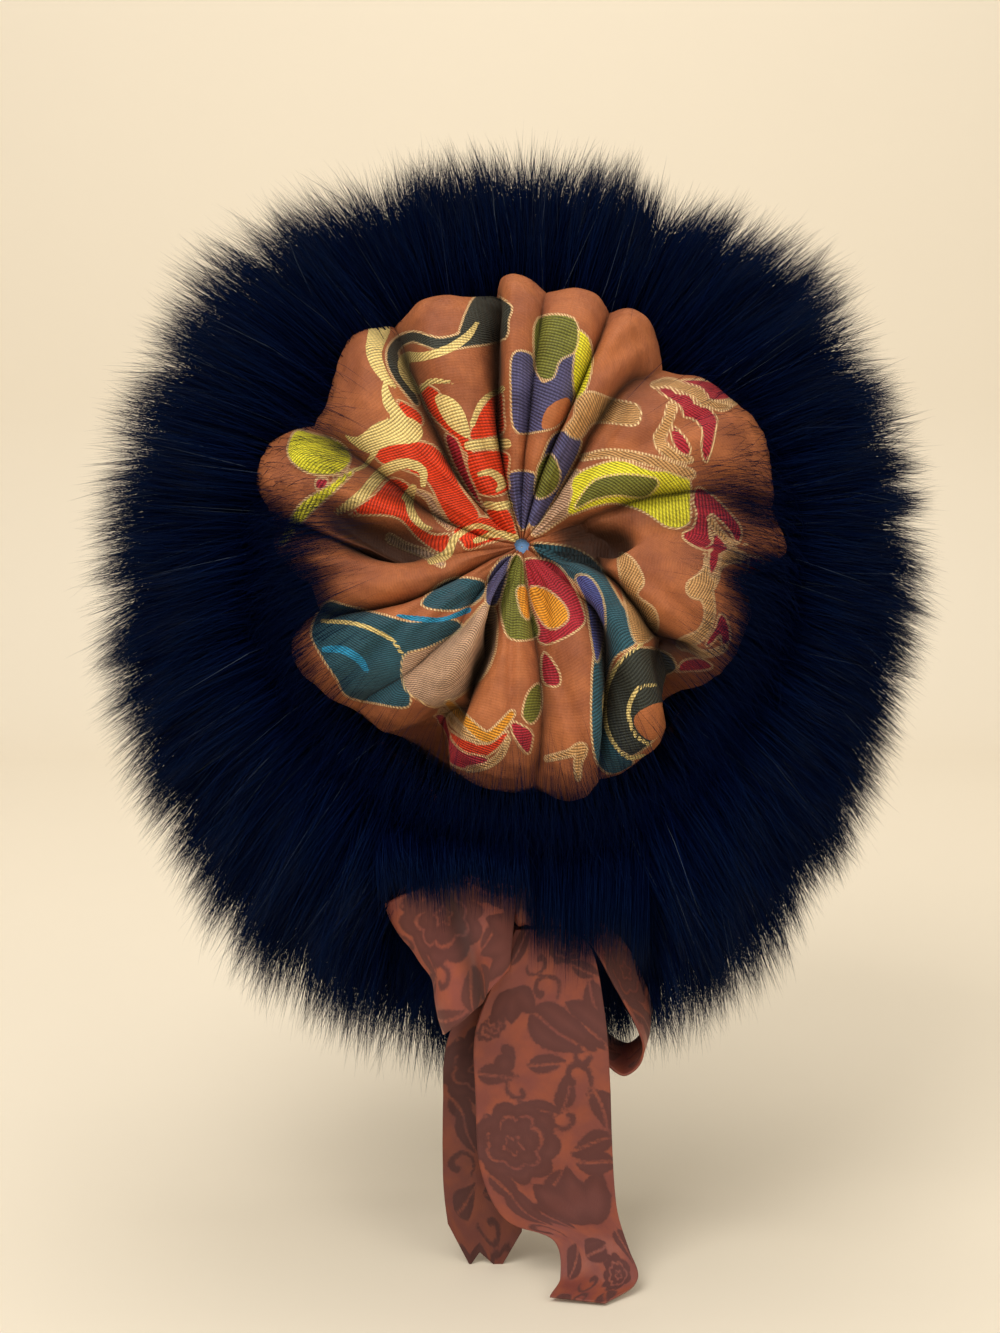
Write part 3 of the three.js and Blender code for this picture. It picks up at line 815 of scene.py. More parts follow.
# Figures of the brocade on a squared chart of the crown seen from the front, x to the right and y down
FIGURES: tuple[Blot | Sweep, ...] = (
    # Dark leaf with a cream border at the upper left
    Blot(Yarn.MOSS, ((66.5, 9.5), (75.5, 12.5), (75, 17), (74, 22), (65, 24), (61, 22.5))),
    Sweep(Yarn.MOSS, (
        (65, 22, 4), (56, 23.5, 3.2), (48, 21.5, 2.6), (43, 25, 3), (44, 31, 3.5), (49.5, 40, 1.5),
    )),
    Sweep(Yarn.CREAM, ((39, 19.5, 6), (37.5, 26, 4.4), (40, 32, 2.8), (43.5, 35.5, 1))),
    Sweep(Yarn.CREAM, (
        (66.5, 17.5, 1), (63.5, 21.5, 2.2), (58, 25, 2.4), (51.5, 27, 2.4), (46.5, 27.5, 3.2), (46, 31, 3),
        (49, 36, 2.2),
    )),
    # Red petals between the centre and the upper left
    Blot(Yarn.RED, ((50.5, 35.5), (55, 36.5), (60, 44), (64, 50), (64.5, 55), (59, 49), (53, 42.5))),
    Blot(Yarn.RED, ((64.5, 50), (66, 45), (69, 40), (73, 36.8), (73.7, 43), (73.7, 48), (70, 49.5))),
    Blot(Yarn.CREAM, ((54.5, 38.2), (58.5, 38.2), (62.5, 42), (64.5, 49.5), (61, 48.5), (57, 44.5))),
    Sweep(Yarn.CREAM, ((65, 46, 1.6), (68, 39.5, 1.6), (73.5, 36, 1.6))),
    Sweep(Yarn.CREAM, ((50, 37, 1.4), (53.5, 34, 1.6), (59.5, 34.3, 1))),
    Sweep(Yarn.CREAM, ((64, 52, 2.6), (69, 51.5, 3), (74.5, 51.5, 3))),
    Blot(Yarn.RED, ((64, 54.5), (74.5, 54), (74.8, 60), (75, 64.5), (70, 66), (66, 64))),
    Sweep(Yarn.CREAM, ((67, 60, 1.4), (70.5, 59.5, 2), (73.5, 62.5, 2.4), (72, 64.6, 1))),
    Sweep(Yarn.CREAM, ((69, 68.5, 2), (72, 69, 2.4), (75.2, 68.5, 2.4))),
    Blot(Yarn.RED, ((69, 70), (75, 70), (77, 75), (76, 77), (71, 73))),
    Blot(Yarn.CRIMSON, ((57.5, 49), (61, 51), (63.5, 59), (67, 67), (68, 69), (64.5, 65), (60, 57))),
    Blot(Yarn.RED, (
        (37, 52.8), (45, 50.8), (53, 51.5), (58, 56), (62, 64), (67, 72), (60, 74.2), (56, 68.5),
        (52.5, 62), (46, 58.6), (40, 57),
    )),
    Blot(Yarn.CREAM, (
        (29, 49), (33, 49.5), (39, 45.2), (47, 44), (51, 47), (50, 50.8), (42, 52), (35.5, 54),
    )),
    Blot(Yarn.RED, ((44, 39.3), (50, 42.5), (51, 46), (46.5, 44))),
    Sweep(Yarn.CREAM, ((40.5, 36, 2), (42, 40.5, 3.4), (46, 45, 2.6))),
    Blot(Yarn.RED, (
        (37.5, 66), (42.5, 61.2), (48, 64), (46.5, 68), (48, 73), (54, 77), (58.5, 77), (56.5, 82),
        (50, 78), (44, 72), (34, 71.3), (30, 71.5),
    )),
    Sweep(Yarn.CREAM, (
        (27.5, 70.5, 2.4), (34, 66, 3.2), (40, 59.5, 3.4), (46, 57, 3), (51, 58.8, 2.4), (51.3, 63, 1.6),
    )),
    Sweep(Yarn.CREAM, (
        (46.2, 66.5, 2), (48.5, 63.6, 1.8), (47.5, 69, 2.2), (50.5, 74, 1.8), (53.5, 75.2, 1),
    )),
    Sweep(Yarn.CREAM, ((31.5, 59, 1.2), (35, 57.5, 1.2), (38, 53.5, 1.6))),
    Sweep(Yarn.CREAM, (
        (53.5, 84.3, 2), (58, 82.3, 2.6), (60.5, 77.5, 1.8), (66, 74.5, 1.6), (71, 75.5, 1.2),
    )),
    Blot(Yarn.RED, ((60, 75.5), (68, 72), (76, 74.8), (77, 77), (70, 79), (64, 81), (62, 79))),
    Sweep(Yarn.CREAM, ((66, 78.6, 1.6), (72, 76.7, 2), (77.2, 78, 2.2))),
    Sweep(Yarn.SILVER, ((42, 78, 2.2), (47, 80.5, 1.6), (52.5, 82.5, 2), (56.5, 85.2, 1.4))),
    Sweep(Yarn.SILVER, ((49.5, 64.8, 0.8), (53, 66.8, 1.6), (55.5, 71.5, 1.8), (58.5, 75, 0.8))),
    # Yellow-green fruit and stalk at the left
    Blot(Yarn.CHARTREUSE, (
        (15.5, 48), (20, 48.6), (27.5, 51), (31, 55.5), (27, 59.6), (19, 59.4), (13.5, 54.5),
    )),
    Sweep(Yarn.CHARTREUSE, ((31, 59.5, 1.2), (25, 64.5, 2.4), (18, 70, 3.6), (11.8, 79, 1.6))),
    Blot(Yarn.CRIMSON, ((21.5, 61.5), (24.5, 61.5), (23.5, 64), (21.5, 64.5))),
    # Flower of olive and slate blue at the top
    Blot(Yarn.OLIVE, (
        (83.5, 16.5), (93.5, 16.5), (94, 25), (89.5, 28), (87.5, 33), (83.8, 32.5), (82.6, 27),
    )),
    Blot(Yarn.SLATE, (
        (76.5, 26.5), (81.5, 26.5), (82.5, 31), (85, 34.4), (88, 32), (89.5, 27), (94.5, 27), (94.6, 34),
        (92.5, 41), (89.5, 46), (83, 48), (77, 47.5), (76, 37),
    )),
    Blot(Yarn.MOSS, (
        (80, 38.5), (83, 40), (86.5, 39.5), (90, 34), (93.5, 34), (92, 40), (88, 45), (82, 46),
    )),
    Blot(Yarn.COPPER, ((86, 41.5), (91.5, 38.5), (92.5, 42), (88.5, 46.5), (84.5, 47))),
    Blot(Yarn.CHARTREUSE, (
        (93.8, 19.5), (97.5, 22), (98.6, 27), (97.5, 34), (94.6, 39.5), (93.4, 33), (93.8, 26),
    )),
    Blot(Yarn.TAN, (
        (93.5, 44), (94.5, 39), (98, 37), (104, 39), (111.5, 41), (111, 46), (105, 45.6), (99, 45.6),
        (95, 50), (91, 47.5),
    )),
    Blot(Yarn.SLATE, (
        (87.5, 49.5), (92.5, 48), (95.5, 51.5), (90.5, 62), (87, 68.5), (83, 74.5), (80.8, 73), (82, 66),
        (83.5, 59),
    )),
    Blot(Yarn.OLIVE, ((84, 57), (87, 54.4), (89.5, 59.5), (88.5, 64), (85, 66.5), (82.8, 66), (83, 61))),
    Blot(Yarn.SLATE, ((75, 60.3), (82, 59.7), (83, 64), (81.8, 72), (79, 75.5), (76.5, 70))),
    Blot(Yarn.SILVER, ((93, 59), (96, 61), (93, 70), (88, 74), (83, 77.3), (82, 75), (87, 69), (90, 64))),
    # Yellow-green leaf at the right
    Blot(Yarn.CHARTREUSE, (
        (93.5, 61), (100, 57.5), (107, 56.3), (115, 59), (125, 60), (126, 68), (125.5, 73.8), (120, 74.7),
        (113, 70.3), (105, 68), (98, 69.3), (92, 71.2), (93, 66),
    )),
    Blot(Yarn.OLIVE, (
        (98.5, 62.5), (104, 60.5), (110, 60.3), (117, 61.8), (113.5, 66.3), (105.5, 65.8), (99, 67),
        (93.8, 69.4),
    )),
    Sweep(Yarn.TAN, ((96, 55.3, 1.2), (104, 54.2, 2), (115, 56.2, 2.6), (126, 60, 2.6))),
    # Crimson blossoms with tan borders at the right
    Blot(Yarn.CRIMSON, (
        (117.1, 36.2), (120, 35.9), (122.9, 37.9), (125.4, 37.1), (127.4, 40.5), (130.9, 41.4),
        (133.4, 44.5), (132.9, 47.9), (131.7, 53.7), (130.3, 56.5), (129.4, 52.5), (129.7, 47.9),
        (127.4, 44.5), (124.3, 43.7), (123.7, 41.1), (120.6, 38.8),
    )),
    Blot(Yarn.CRIMSON, (
        (123.4, 33.9), (129.1, 33.7), (134.3, 35.1), (137.4, 38.2), (134.9, 39.1), (131.4, 38.8),
        (129.7, 37.1), (126.9, 35.4),
    )),
    Blot(Yarn.CRIMSON, (
        (120.9, 46.5), (123.4, 48.5), (125.7, 51.9), (125.7, 54.5), (122.9, 53.4), (121.4, 50.8),
    )),
    Sweep(Yarn.TAN, ((116, 35, 1.4), (120, 34.2, 2), (124.5, 35.8, 2.4), (128.5, 37.4, 3), (130, 40, 2.2))),
    Sweep(Yarn.TAN, ((121, 41, 2.6), (119.5, 46, 2.4), (117.5, 50.5, 3), (121, 54.6, 2.4), (126, 56, 1.4))),
    Sweep(Yarn.TAN, ((131.5, 40, 1.4), (135, 41, 2.2), (138.5, 39.5, 1.4))),
    Blot(Yarn.CRIMSON, (
        (128, 63.9), (130.9, 65.1), (134.9, 68.5), (139.4, 73.7), (140.3, 76.5), (139.4, 79.4),
        (137.7, 76.5), (134.9, 73.1), (131.7, 70.8), (131.1, 74.2), (131.4, 78.2), (132, 81.1),
        (129.1, 80.8), (124.6, 78.2), (124.3, 76.5), (127.1, 74.8), (128, 70.8), (127.1, 67.4),
    )),
    Blot(Yarn.CRIMSON, (
        (133.1, 76.5), (134.9, 78.2), (136.6, 81.1), (134.9, 81.7), (132.9, 81.1), (132.6, 78.2),
    )),
    Blot(Yarn.CRIMSON, ((131.7, 81.7), (134, 82.2), (133.4, 85.7), (131.7, 88.5), (131.4, 85.1))),
    Blot(Yarn.CRIMSON, (
        (141.4, 79.4), (144, 82.2), (146.3, 83.9), (145.7, 86.8), (142.9, 89.1), (140.6, 90.8), (142.6, 86),
        (142.4, 82.2),
    )),
    Blot(Yarn.CRIMSON, (
        (134.3, 99.4), (136, 100.5), (137.1, 104.5), (136.6, 107.9), (135.1, 107.4), (134.6, 104.5),
        (132, 107.4), (130.6, 107.9), (131.4, 105.7), (133.4, 102.8),
    )),
    Blot(Yarn.CRIMSON, (
        (123.1, 114.2), (124, 112.5), (126.9, 111.7), (129.7, 111.9), (132, 114.2), (124.6, 115.1),
    )),
    Sweep(Yarn.TAN, ((131.7, 72.5, 1.3), (133.2, 75, 1.3), (136.8, 79, 1.4), (138.5, 81.5, 1.2))),
    Blot(Yarn.TAN, (
        (130, 81.4), (130, 86.5), (125.4, 90.5), (126, 94), (130, 94.5), (133.5, 90.5), (134.8, 86),
        (139, 84.5), (142, 85), (141, 82), (135.3, 82), (134.4, 86), (131.8, 89.4), (131, 85),
    )),
    Sweep(Yarn.TAN, ((130.6, 93, 3.4), (131.6, 99, 2.4), (129.5, 104.5, 2.6), (124, 107.5, 3))),
    Sweep(Yarn.TAN, ((124, 107.5, 1.6), (130, 110.3, 1.4), (135.5, 109, 1.4))),
    # Dark scroll with a pale outline at the lower right
    Blot(Yarn.TEAL, (
        (82, 79.8), (88, 79.8), (94, 81), (100, 85), (105, 93), (110.5, 103), (111, 107), (105, 111),
        (103, 116), (101.5, 125), (104, 135), (110, 140.5), (106, 144), (100.5, 141.5), (98.6, 132),
        (98.8, 115), (99.8, 105), (98, 96), (92.5, 89), (86, 85),
    )),
    Blot(Yarn.MOSS, (
        (110, 109), (119, 110), (122.3, 115), (121, 125), (116, 134), (108.5, 139), (103, 133), (102, 124),
        (104, 116),
    )),
    Blot(Yarn.COPPER, ((117, 124), (120.5, 125), (119, 131), (115, 134.6), (110.8, 131), (111, 127))),
    Blot(Yarn.VIOLET, ((94, 89), (98, 89), (101.5, 95), (102, 104), (100, 112.5), (98.4, 105), (97, 96))),
    Sweep(Yarn.CREAM, (
        (112.5, 107.5, 1.1), (106, 113, 1.2), (102.3, 122, 1.2), (103, 132, 1.2), (108, 139, 1.2),
        (113, 138.8, 1.1),
    )),
    Sweep(Yarn.CREAM, (
        (116.4, 119, 1.1), (111.5, 120, 1.2), (108.8, 126, 1.2), (110.5, 132.6, 1.2), (114.8, 136, 1.1),
    )),
    Blot(Yarn.TAN, (
        (106, 83), (110, 84), (113, 90), (111, 94), (116, 98), (116.5, 104), (111, 107), (108, 96),
    )),
    # Green leaf and orange flower below the centre
    Blot(Yarn.OLIVE, (
        (76.5, 83), (79, 84), (80, 90), (81, 96), (83.5, 105), (76, 106), (73.5, 101), (73, 96), (74.5, 90),
    )),
    Blot(Yarn.CRIMSON, (
        (80, 84), (88, 85), (93, 91), (96, 98), (96, 102), (90, 106), (84, 107), (82, 98), (80.5, 90),
    )),
    Blot(Yarn.ORANGE, ((81, 92), (86, 92.5), (91, 97), (91.5, 101), (87, 103.2), (83, 99))),
    Blot(Yarn.ORANGE, ((77.5, 92.5), (80.3, 92), (81.2, 100), (79, 99))),
    Blot(Yarn.CRIMSON, ((85, 110), (89, 115), (89.2, 119), (85, 118))),
    Blot(Yarn.OLIVE, (
        (83.6, 118.7), (84.3, 121.2), (84, 126.5), (81.8, 129.7), (79.7, 128.3), (79.3, 126.2),
        (80.8, 121.2),
    )),
    Sweep(Yarn.ORANGE, (
        (58.5, 124.2, 2), (66.1, 131.9, 2.8), (69.7, 133.6, 2.8), (73.3, 130.5, 2.4), (76.1, 127, 1.6),
    )),
    Sweep(Yarn.TAN, ((56.6, 126.6, 1.6), (62.2, 131.6, 1.8), (66.8, 134.8, 1.4))),
    Blot(Yarn.RED, (
        (67.2, 135.6), (70.4, 135.4), (74, 132.4), (75, 132.6), (73.6, 135), (70.4, 138), (66, 139.8),
        (60, 135.5), (58, 131.5), (62, 134),
    )),
    Sweep(Yarn.TAN, ((64, 142.6, 1.1), (69, 141.6, 1.2), (73, 138.5, 1.3), (75, 134, 1.1))),
    Sweep(Yarn.CRIMSON, ((55.5, 129, 3), (57.5, 136, 4.4), (62, 140, 4.4), (68, 140.6, 3))),
    Blot(Yarn.CRIMSON, (
        (76.1, 129.4), (79, 130.5), (81.8, 132.6), (81.1, 137.6), (79.7, 137.6), (76.8, 133.3),
    )),
    Sweep(Yarn.TAN, (
        (86, 139.6, 1.1), (92, 138.2, 1.6), (95.6, 136.8, 2.8), (94.6, 141, 1.8), (94.7, 145, 1.1),
    )),
    Blot(Yarn.SLATE, ((73, 84), (77, 83), (75.5, 88), (72, 96), (69, 96), (69.5, 89.5))),
    # Silver leaf and dark teal leaf at the lower left
    Blot(Yarn.SILVER, (
        (69, 96), (71.5, 99), (71.5, 108), (69, 115), (64, 120), (56, 125), (50, 123), (46, 119), (46, 111),
        (52, 109), (60, 105), (65, 100),
    )),
    Blot(Yarn.TEAL, ((56, 91), (62, 89), (68.5, 90.5), (67, 95), (60, 98), (51, 96.5))),
    Blot(Yarn.TEAL, (
        (24, 96), (30, 97), (40, 99.4), (48, 101.4), (60, 100.8), (62, 105), (54, 108), (46, 111),
        (47, 119), (47, 125), (38, 124), (30, 122), (27, 117), (23, 111), (20, 104),
    )),
    Sweep(Yarn.CYAN, ((23.5, 109, 1.6), (29, 109.2, 2.2), (33.5, 112, 2.2), (35.5, 115, 1.4))),
    Sweep(Yarn.CREAM, ((23, 101, 1.1), (33, 102, 1.2), (42, 106, 1.2), (45.5, 110.5, 1.1))),
    Sweep(Yarn.CYAN, ((44, 99.5, 0.8), (50, 100.5, 1.6), (57, 100.6, 1.2), (64, 98, 1.6))),
)


@dataclass
class Chart:
    """Lays the squared chart of figures on the crown cloth.

    Args:
        points: the cloth's points in the leaned frame, (rows, columns, 3).
        front_row: row where the crown is widest, below which the chart carries on outward.
    """

    points: Array
    front_row: int
    corner: Point2 = (240.0, 260.0)
    square: float = 25 / 7
    square_size: float = 1.63
    margin: float = 4.0

    def places(self) -> Array:
        """Chart place of every point, in squares."""
        seen = (to_photo(to_world(self.points)) - self.corner) / self.square
        steps = np.linalg.norm(np.diff(self.points, axis=0), axis=-1)
        centre = seen[-1].mean(axis=0)
        for row in range(self.front_row - 1, -1, -1):
            outward = unit(seen[row + 1] - centre)
            seen[row] = seen[row + 1] + outward * (steps[row] / self.square_size)[:, None]
        return seen

    def store(self, piece: Piece) -> None:
        """Stores for each yarn the signed distance to its figures, in millimetres.

        Args:
            piece: the cloth that gets them.
        """
        places = self.places().reshape(-1, 2)
        for yarn in Yarn:
            nearest = np.full(len(places), self.margin)
            for figure in FIGURES:
                if figure.yarn is not yarn:
                    continue
                outline = figure.outline()
                low, high = outline.min(axis=0) - self.margin, outline.max(axis=0) + self.margin
                near = np.all((places > low) & (places < high), axis=1)
                nearest[near] = np.minimum(nearest[near], figure.distance(places[near]))
            piece.attribute(f"yarn_{yarn.value}", nearest * self.square_size)


@dataclass(frozen=True)
class BrocadeFinish:
    """Silk brocade: ribbed copper ground, coloured figures with beaded gold outlines."""

    ground: Colour = dye(174, 102, 58)
    # Darker copy of the ground, used as painted shade in random patches.
    shade: Colour = dye(140, 78, 48)
    thread: Colour = dye(240, 206, 152)
    rib_pitch: float = 1.4
    stitch_pitch: float = 1.3
    outline_half_width: float = 0.55
    fold_start: float = 3.0
    fold_end: float = 18.0
    fold_shade: float = 0.94
    colours: dict[Yarn, Colour] = field(default_factory=lambda: {
        Yarn.MOSS: dye(56, 60, 52),
        Yarn.TEAL: dye(46, 92, 106),
        Yarn.SILVER: dye(214, 172, 140),
        Yarn.SLATE: dye(88, 84, 124),
        Yarn.RED: dye(240, 66, 24),
        Yarn.CREAM: dye(252, 222, 142),
        Yarn.CRIMSON: dye(186, 40, 56),
        Yarn.CHARTREUSE: dye(255, 244, 60),
        Yarn.OLIVE: dye(124, 124, 48),
        Yarn.TAN: dye(222, 168, 108),
        Yarn.VIOLET: dye(84, 92, 160),
        Yarn.ORANGE: dye(250, 166, 48),
        Yarn.COPPER: dye(174, 102, 58),
        Yarn.CYAN: dye(48, 160, 206),
    })
    glossy: tuple[Yarn, ...] = (Yarn.SILVER, Yarn.TAN, Yarn.CREAM, Yarn.CHARTREUSE, Yarn.CYAN)
    plain: tuple[Yarn, ...] = (Yarn.CREAM, Yarn.COPPER, Yarn.CYAN)

    def material(self) -> bpy.types.Material:
        """Builds the material from the chart's distances and the cloth's own coordinates."""
        nodes = NodeSpace("brocade")
        place = nodes.position()
        rib = nodes.attribute("rib") * (2 * math.pi / self.rib_pitch)
        wobble = nodes.noise(place, 180.0, 2.0) * 1.6
        ribs = (rib + wobble).sine() * 0.5 + 0.5
        weave = nodes.noise(nodes.stretched(place, (1.0, 0.4, 1.0)), 2600.0, 2.0)
        # Painted light and shade: random patches blend the ground with a darker, shaded copy of its colour.
        painted_light_patches = nodes.noise(place, 42.0, 4.0, 0.6)
        colour = nodes.mixed(painted_light_patches.ramp(0.3, 0.75), self.shade, self.ground)
        covered = shine = thread = 0.0
        ragged = (nodes.noise(place, 900.0, 1.0) - 0.5) * 0.6
        for yarn in Yarn:
            distance = nodes.attribute(f"yarn_{yarn.value}") + ragged
            inside = 1.0 - distance.ramp(-0.14, 0.14)
            colour = nodes.mixed(inside, colour, self.colours[yarn])
            figured = 0.0 if yarn is Yarn.COPPER else 1.0
            covered = covered * (1.0 - inside) + inside * figured
            shine = shine * (1.0 - inside) + inside * (1.0 if yarn in self.glossy else 0.15)
            width = self.outline_half_width
            band = 1.0 - (distance - width * 0.6).absolute().ramp(width * 0.6, width * 1.4)
            if yarn in self.plain:
                thread = thread * (1.0 - inside)
            else:
                thread = (thread * (1.0 - inside)).highest(band)
        lateral = nodes.attribute("lateral") * (2 * math.pi / self.stitch_pitch)
        stitches = (lateral + wobble).sine()
        dashes = (lateral + rib * 0.9 + wobble).sine()
        thread = thread * (dashes.ramp(-0.4, 0.3) * 0.8 + 0.2)
        grooves = ribs.ramp(0.0, 0.6) * (0.8 + stitches * 0.2)
        depth = covered * 0.62 + 0.12
        # Painted sheen: brighter random patches on the figures stand in for the silk's gloss.
        painted_sheen = nodes.noise(nodes.stretched(place, (1.0, 1.0, 1.6)), 75.0, 2.0).ramp(0.3, 0.7) * covered
        slub = nodes.noise(nodes.stretched(place, (1.0, 1.0, 0.25)), 620.0, 3.0) - 0.5
        grain_and_sheen = (weave - 0.5) * 0.3 + slub * 0.32 + painted_sheen * 0.16
        colour = nodes.brightened(colour, 1.0 - depth * (1.0 - grooves) + grain_and_sheen)
        colour = nodes.mixed(thread * 0.85, colour, self.thread)
        # Painted shade: the cloth darkens where its creases sink deep.
        folded = nodes.attribute("fold").ramp(self.fold_start, self.fold_end)
        colour = nodes.brightened(colour, 1.08 - folded * self.fold_shade)
        crinkle = nodes.noise(nodes.stretched(place, (1.0, 1.0, 0.6)), 150.0, 2.0) * 1.8
        height = (ribs + stitches * 0.18) * (covered * 0.85 + 0.15) + weave * 0.55 + slub * 0.5
        height = height + thread * 0.9 + crinkle
        return nodes.finish(
            Base_Color=colour,
            Roughness=0.62 - shine * 0.2 - thread * 0.12,
            Metallic=thread * 0.25 + shine * covered * 0.12,
            Specular_IOR_Level=0.28,
            Sheen_Weight=0.06,
            Sheen_Roughness=0.5,
            Sheen_Tint=(1.0, 0.62, 0.4),
            Normal=nodes.bump(height, 0.00045),
        )


@dataclass(frozen=True)
class LiningFinish:
    """Smooth pale-blue lining cloth."""

    light: Colour = dye(120, 172, 226)
    dark: Colour = dye(92, 144, 206)

    def material(self) -> bpy.types.Material:
        """Builds a fine plain weave with soft colour variation."""
        nodes = NodeSpace("lining")
        place = nodes.position()
        warp = nodes.noise(nodes.stretched(place, (3.0, 1.0, 1.0)), 1400.0, 2.0)
        weft = nodes.noise(nodes.stretched(place, (1.0, 1.0, 3.0)), 1400.0, 2.0)
        colour = nodes.mixed(nodes.noise(place, 30.0).ramp(0.3, 0.7), self.dark, self.light)
        return nodes.finish(
            Base_Color=nodes.brightened(colour, 0.85 + (warp + weft) * 0.15),
            Roughness=0.42 + warp * 0.15,
            Sheen_Weight=0.3,
            Normal=nodes.bump(warp + weft, 0.00015),
        )


@dataclass(frozen=True)
class PeltFinish:
    """Skin of the fur roll: short dense underfur, nearly black."""

    deep: Colour = dye(1, 2, 18)
    pale: Colour = dye(3, 7, 28)

    def material(self) -> bpy.types.Material:
        """Builds a matt, blotched surface."""
        nodes = NodeSpace("pelt")
        place = nodes.position()
        nap = nodes.noise(place, 900.0, 4.0, 0.7)
        colour = nodes.mixed(nodes.noise(place, 60.0), self.deep, self.pale)
        return nodes.finish(
            Base_Color=nodes.brightened(colour, 0.5 + nap),
            Roughness=1.0 - nap * 0.1,
            Specular_IOR_Level=0.02,
            Normal=nodes.bump(nap, 0.0012),
        )


@dataclass(frozen=True)
class FurFinish:
    """Long fur: blue-black shafts, thinner at their tips, with brown ends painted as light shining through
    the thin tips.
    """

    name: str = "fur"
    root: Colour = dye(2, 7, 42)
    middle: Colour = dye(2, 11, 46)
    tip: Colour = dye(6, 19, 46)
    end: Colour = dye(40, 38, 40)
    streak: Colour = dye(64, 72, 82)

    def material(self) -> bpy.types.Material:
        """Builds the shaft colours from the place along each hair and its own shade."""
        nodes = NodeSpace(self.name)
        along = nodes.attribute("along")
        shade = nodes.attribute("shade")
        colour = nodes.mixed(along.ramp(0.1, 0.6), self.root, self.middle)
        colour = nodes.mixed(along.ramp(0.6, 1.0) * 0.8, colour, self.tip)
        # Painted light: brown ends stand in for light that shines through the thin tips.
        colour = nodes.mixed(along.ramp(0.86, 1.0) * shade, colour, self.end)
        colour = nodes.mixed(shade.ramp(0.975, 0.99) * along.ramp(0.3, 0.7) * 0.7, colour, self.streak)
        colour = nodes.brightened(colour, 0.8 + shade * 0.4)
        return nodes.finish(
            Base_Color=colour,
            Roughness=0.55 + shade * 0.14,
            Specular_IOR_Level=0.06,
            Specular_Tint=(0.3, 0.7, 1.0),
        )


@dataclass(frozen=True)
class DamaskFinish:
    """Rust damask ribbon: matt leaves and flowers on a satin ground of the same dye."""

    ground: Colour = dye(120, 61, 53)
    figure: Colour = dye(90, 48, 44)
    lit: Colour = dye(140, 71, 50)
    matt: Colour = dye(103, 56, 51)

    def material(self) -> bpy.types.Material:
        """Builds the material from the ribbon's figure distance and its own coordinates."""
        nodes = NodeSpace("damask")
        across = nodes.attribute("across")
        along = nodes.attribute("along")
        tone = nodes.attribute("tone")
        cloth = nodes.joined(across, along)
        fray = (nodes.noise(cloth, 0.7, 3.0) - 0.5) * 1.8
        figure = 1.0 - (nodes.attribute("figure") + fray).ramp(-0.7, 0.7)
        warp = nodes.noise(nodes.stretched(cloth, (3.2, 0.25, 0.0)), 1.6, 2.0)
        weft = nodes.noise(nodes.stretched(cloth, (0.25, 3.2, 0.0)), 1.6, 2.0)
        twill = ((across + along) * (2 * math.pi / 0.55)).sine() * 0.5 + 0.5
        # Painted light: random patches of the satin ground take a lighter, lit copy of its colour.
        painted_light_patches = nodes.noise(cloth, 0.07, 3.0)
        ground = nodes.mixed(painted_light_patches.ramp(0.35, 0.7), self.ground, self.lit)
        inner = nodes.mixed(nodes.attribute("figure").ramp(-7.0, -0.8), self.matt, self.figure)
        colour = nodes.mixed(figure, ground, inner)
        # Painted light and shade: each length's tone and the shade of its pressed fold scale the cloth's
        # colour.
        colour = nodes.brightened(colour, (0.86 + warp * 0.16 + weft * 0.12) * tone)
        height = (1.0 - figure) * 0.5 + warp * 0.35 + weft * 0.3 + twill * figure * 0.3
        return nodes.finish(
            Base_Color=colour,
            Roughness=0.42 + figure * 0.22,
            Specular_IOR_Level=0.35,
            Sheen_Weight=0.1,
            Sheen_Roughness=0.4,
            Sheen_Tint=(1.0, 0.6, 0.45),
            Normal=nodes.bump(height, 0.00022),
        )


@dataclass(frozen=True)
class PlasterFinish:
    """Pale matt studio surface."""

    name: str
    colour: Colour

    def material(self) -> bpy.types.Material:
        """Builds a smooth surface with a trace of mottling."""
        nodes = NodeSpace(self.name)
        mottle = nodes.noise(nodes.position(), 3.0, 3.0)
        return nodes.finish(
            Base_Color=nodes.brightened(self.colour, 0.985 + mottle * 0.03),
            Roughness=0.8,
        )


def oval_point(angle: Array, outward: Array | float) -> Array:
    """Point of the side band's oval, moved outward along the oval's normal, in the leaned frame."""
    normal = unit(np.stack([np.cos(angle) * BAND_HALF_HEIGHT, np.sin(angle) * BAND_HALF_WIDTH], axis=-1))
    x = BAND_HALF_WIDTH * np.cos(angle) + normal[..., 0] * outward
    y = OPENING_CENTRE_Y + BAND_HALF_HEIGHT * np.sin(angle) + normal[..., 1] * outward
    return np.stack([x, y], axis=-1)


def roll_point(angle: Array, place: Array, lift: Array | float) -> Array:
    """Point on the fur roll: angle round the hat, place round the roll's section, lift off its skin."""
    outward = SEAT_GAP + ROLL_HALF_WIDTH + (ROLL_HALF_WIDTH + lift) * np.cos(place)
    flat = oval_point(angle, outward)
    height = ROLL_MIDDLE_Z + (ROLL_HALF_DEPTH + lift) * np.sin(place)
    return np.concatenate([flat, np.broadcast_to(height, flat[..., 0].shape)[..., None]], axis=-1)


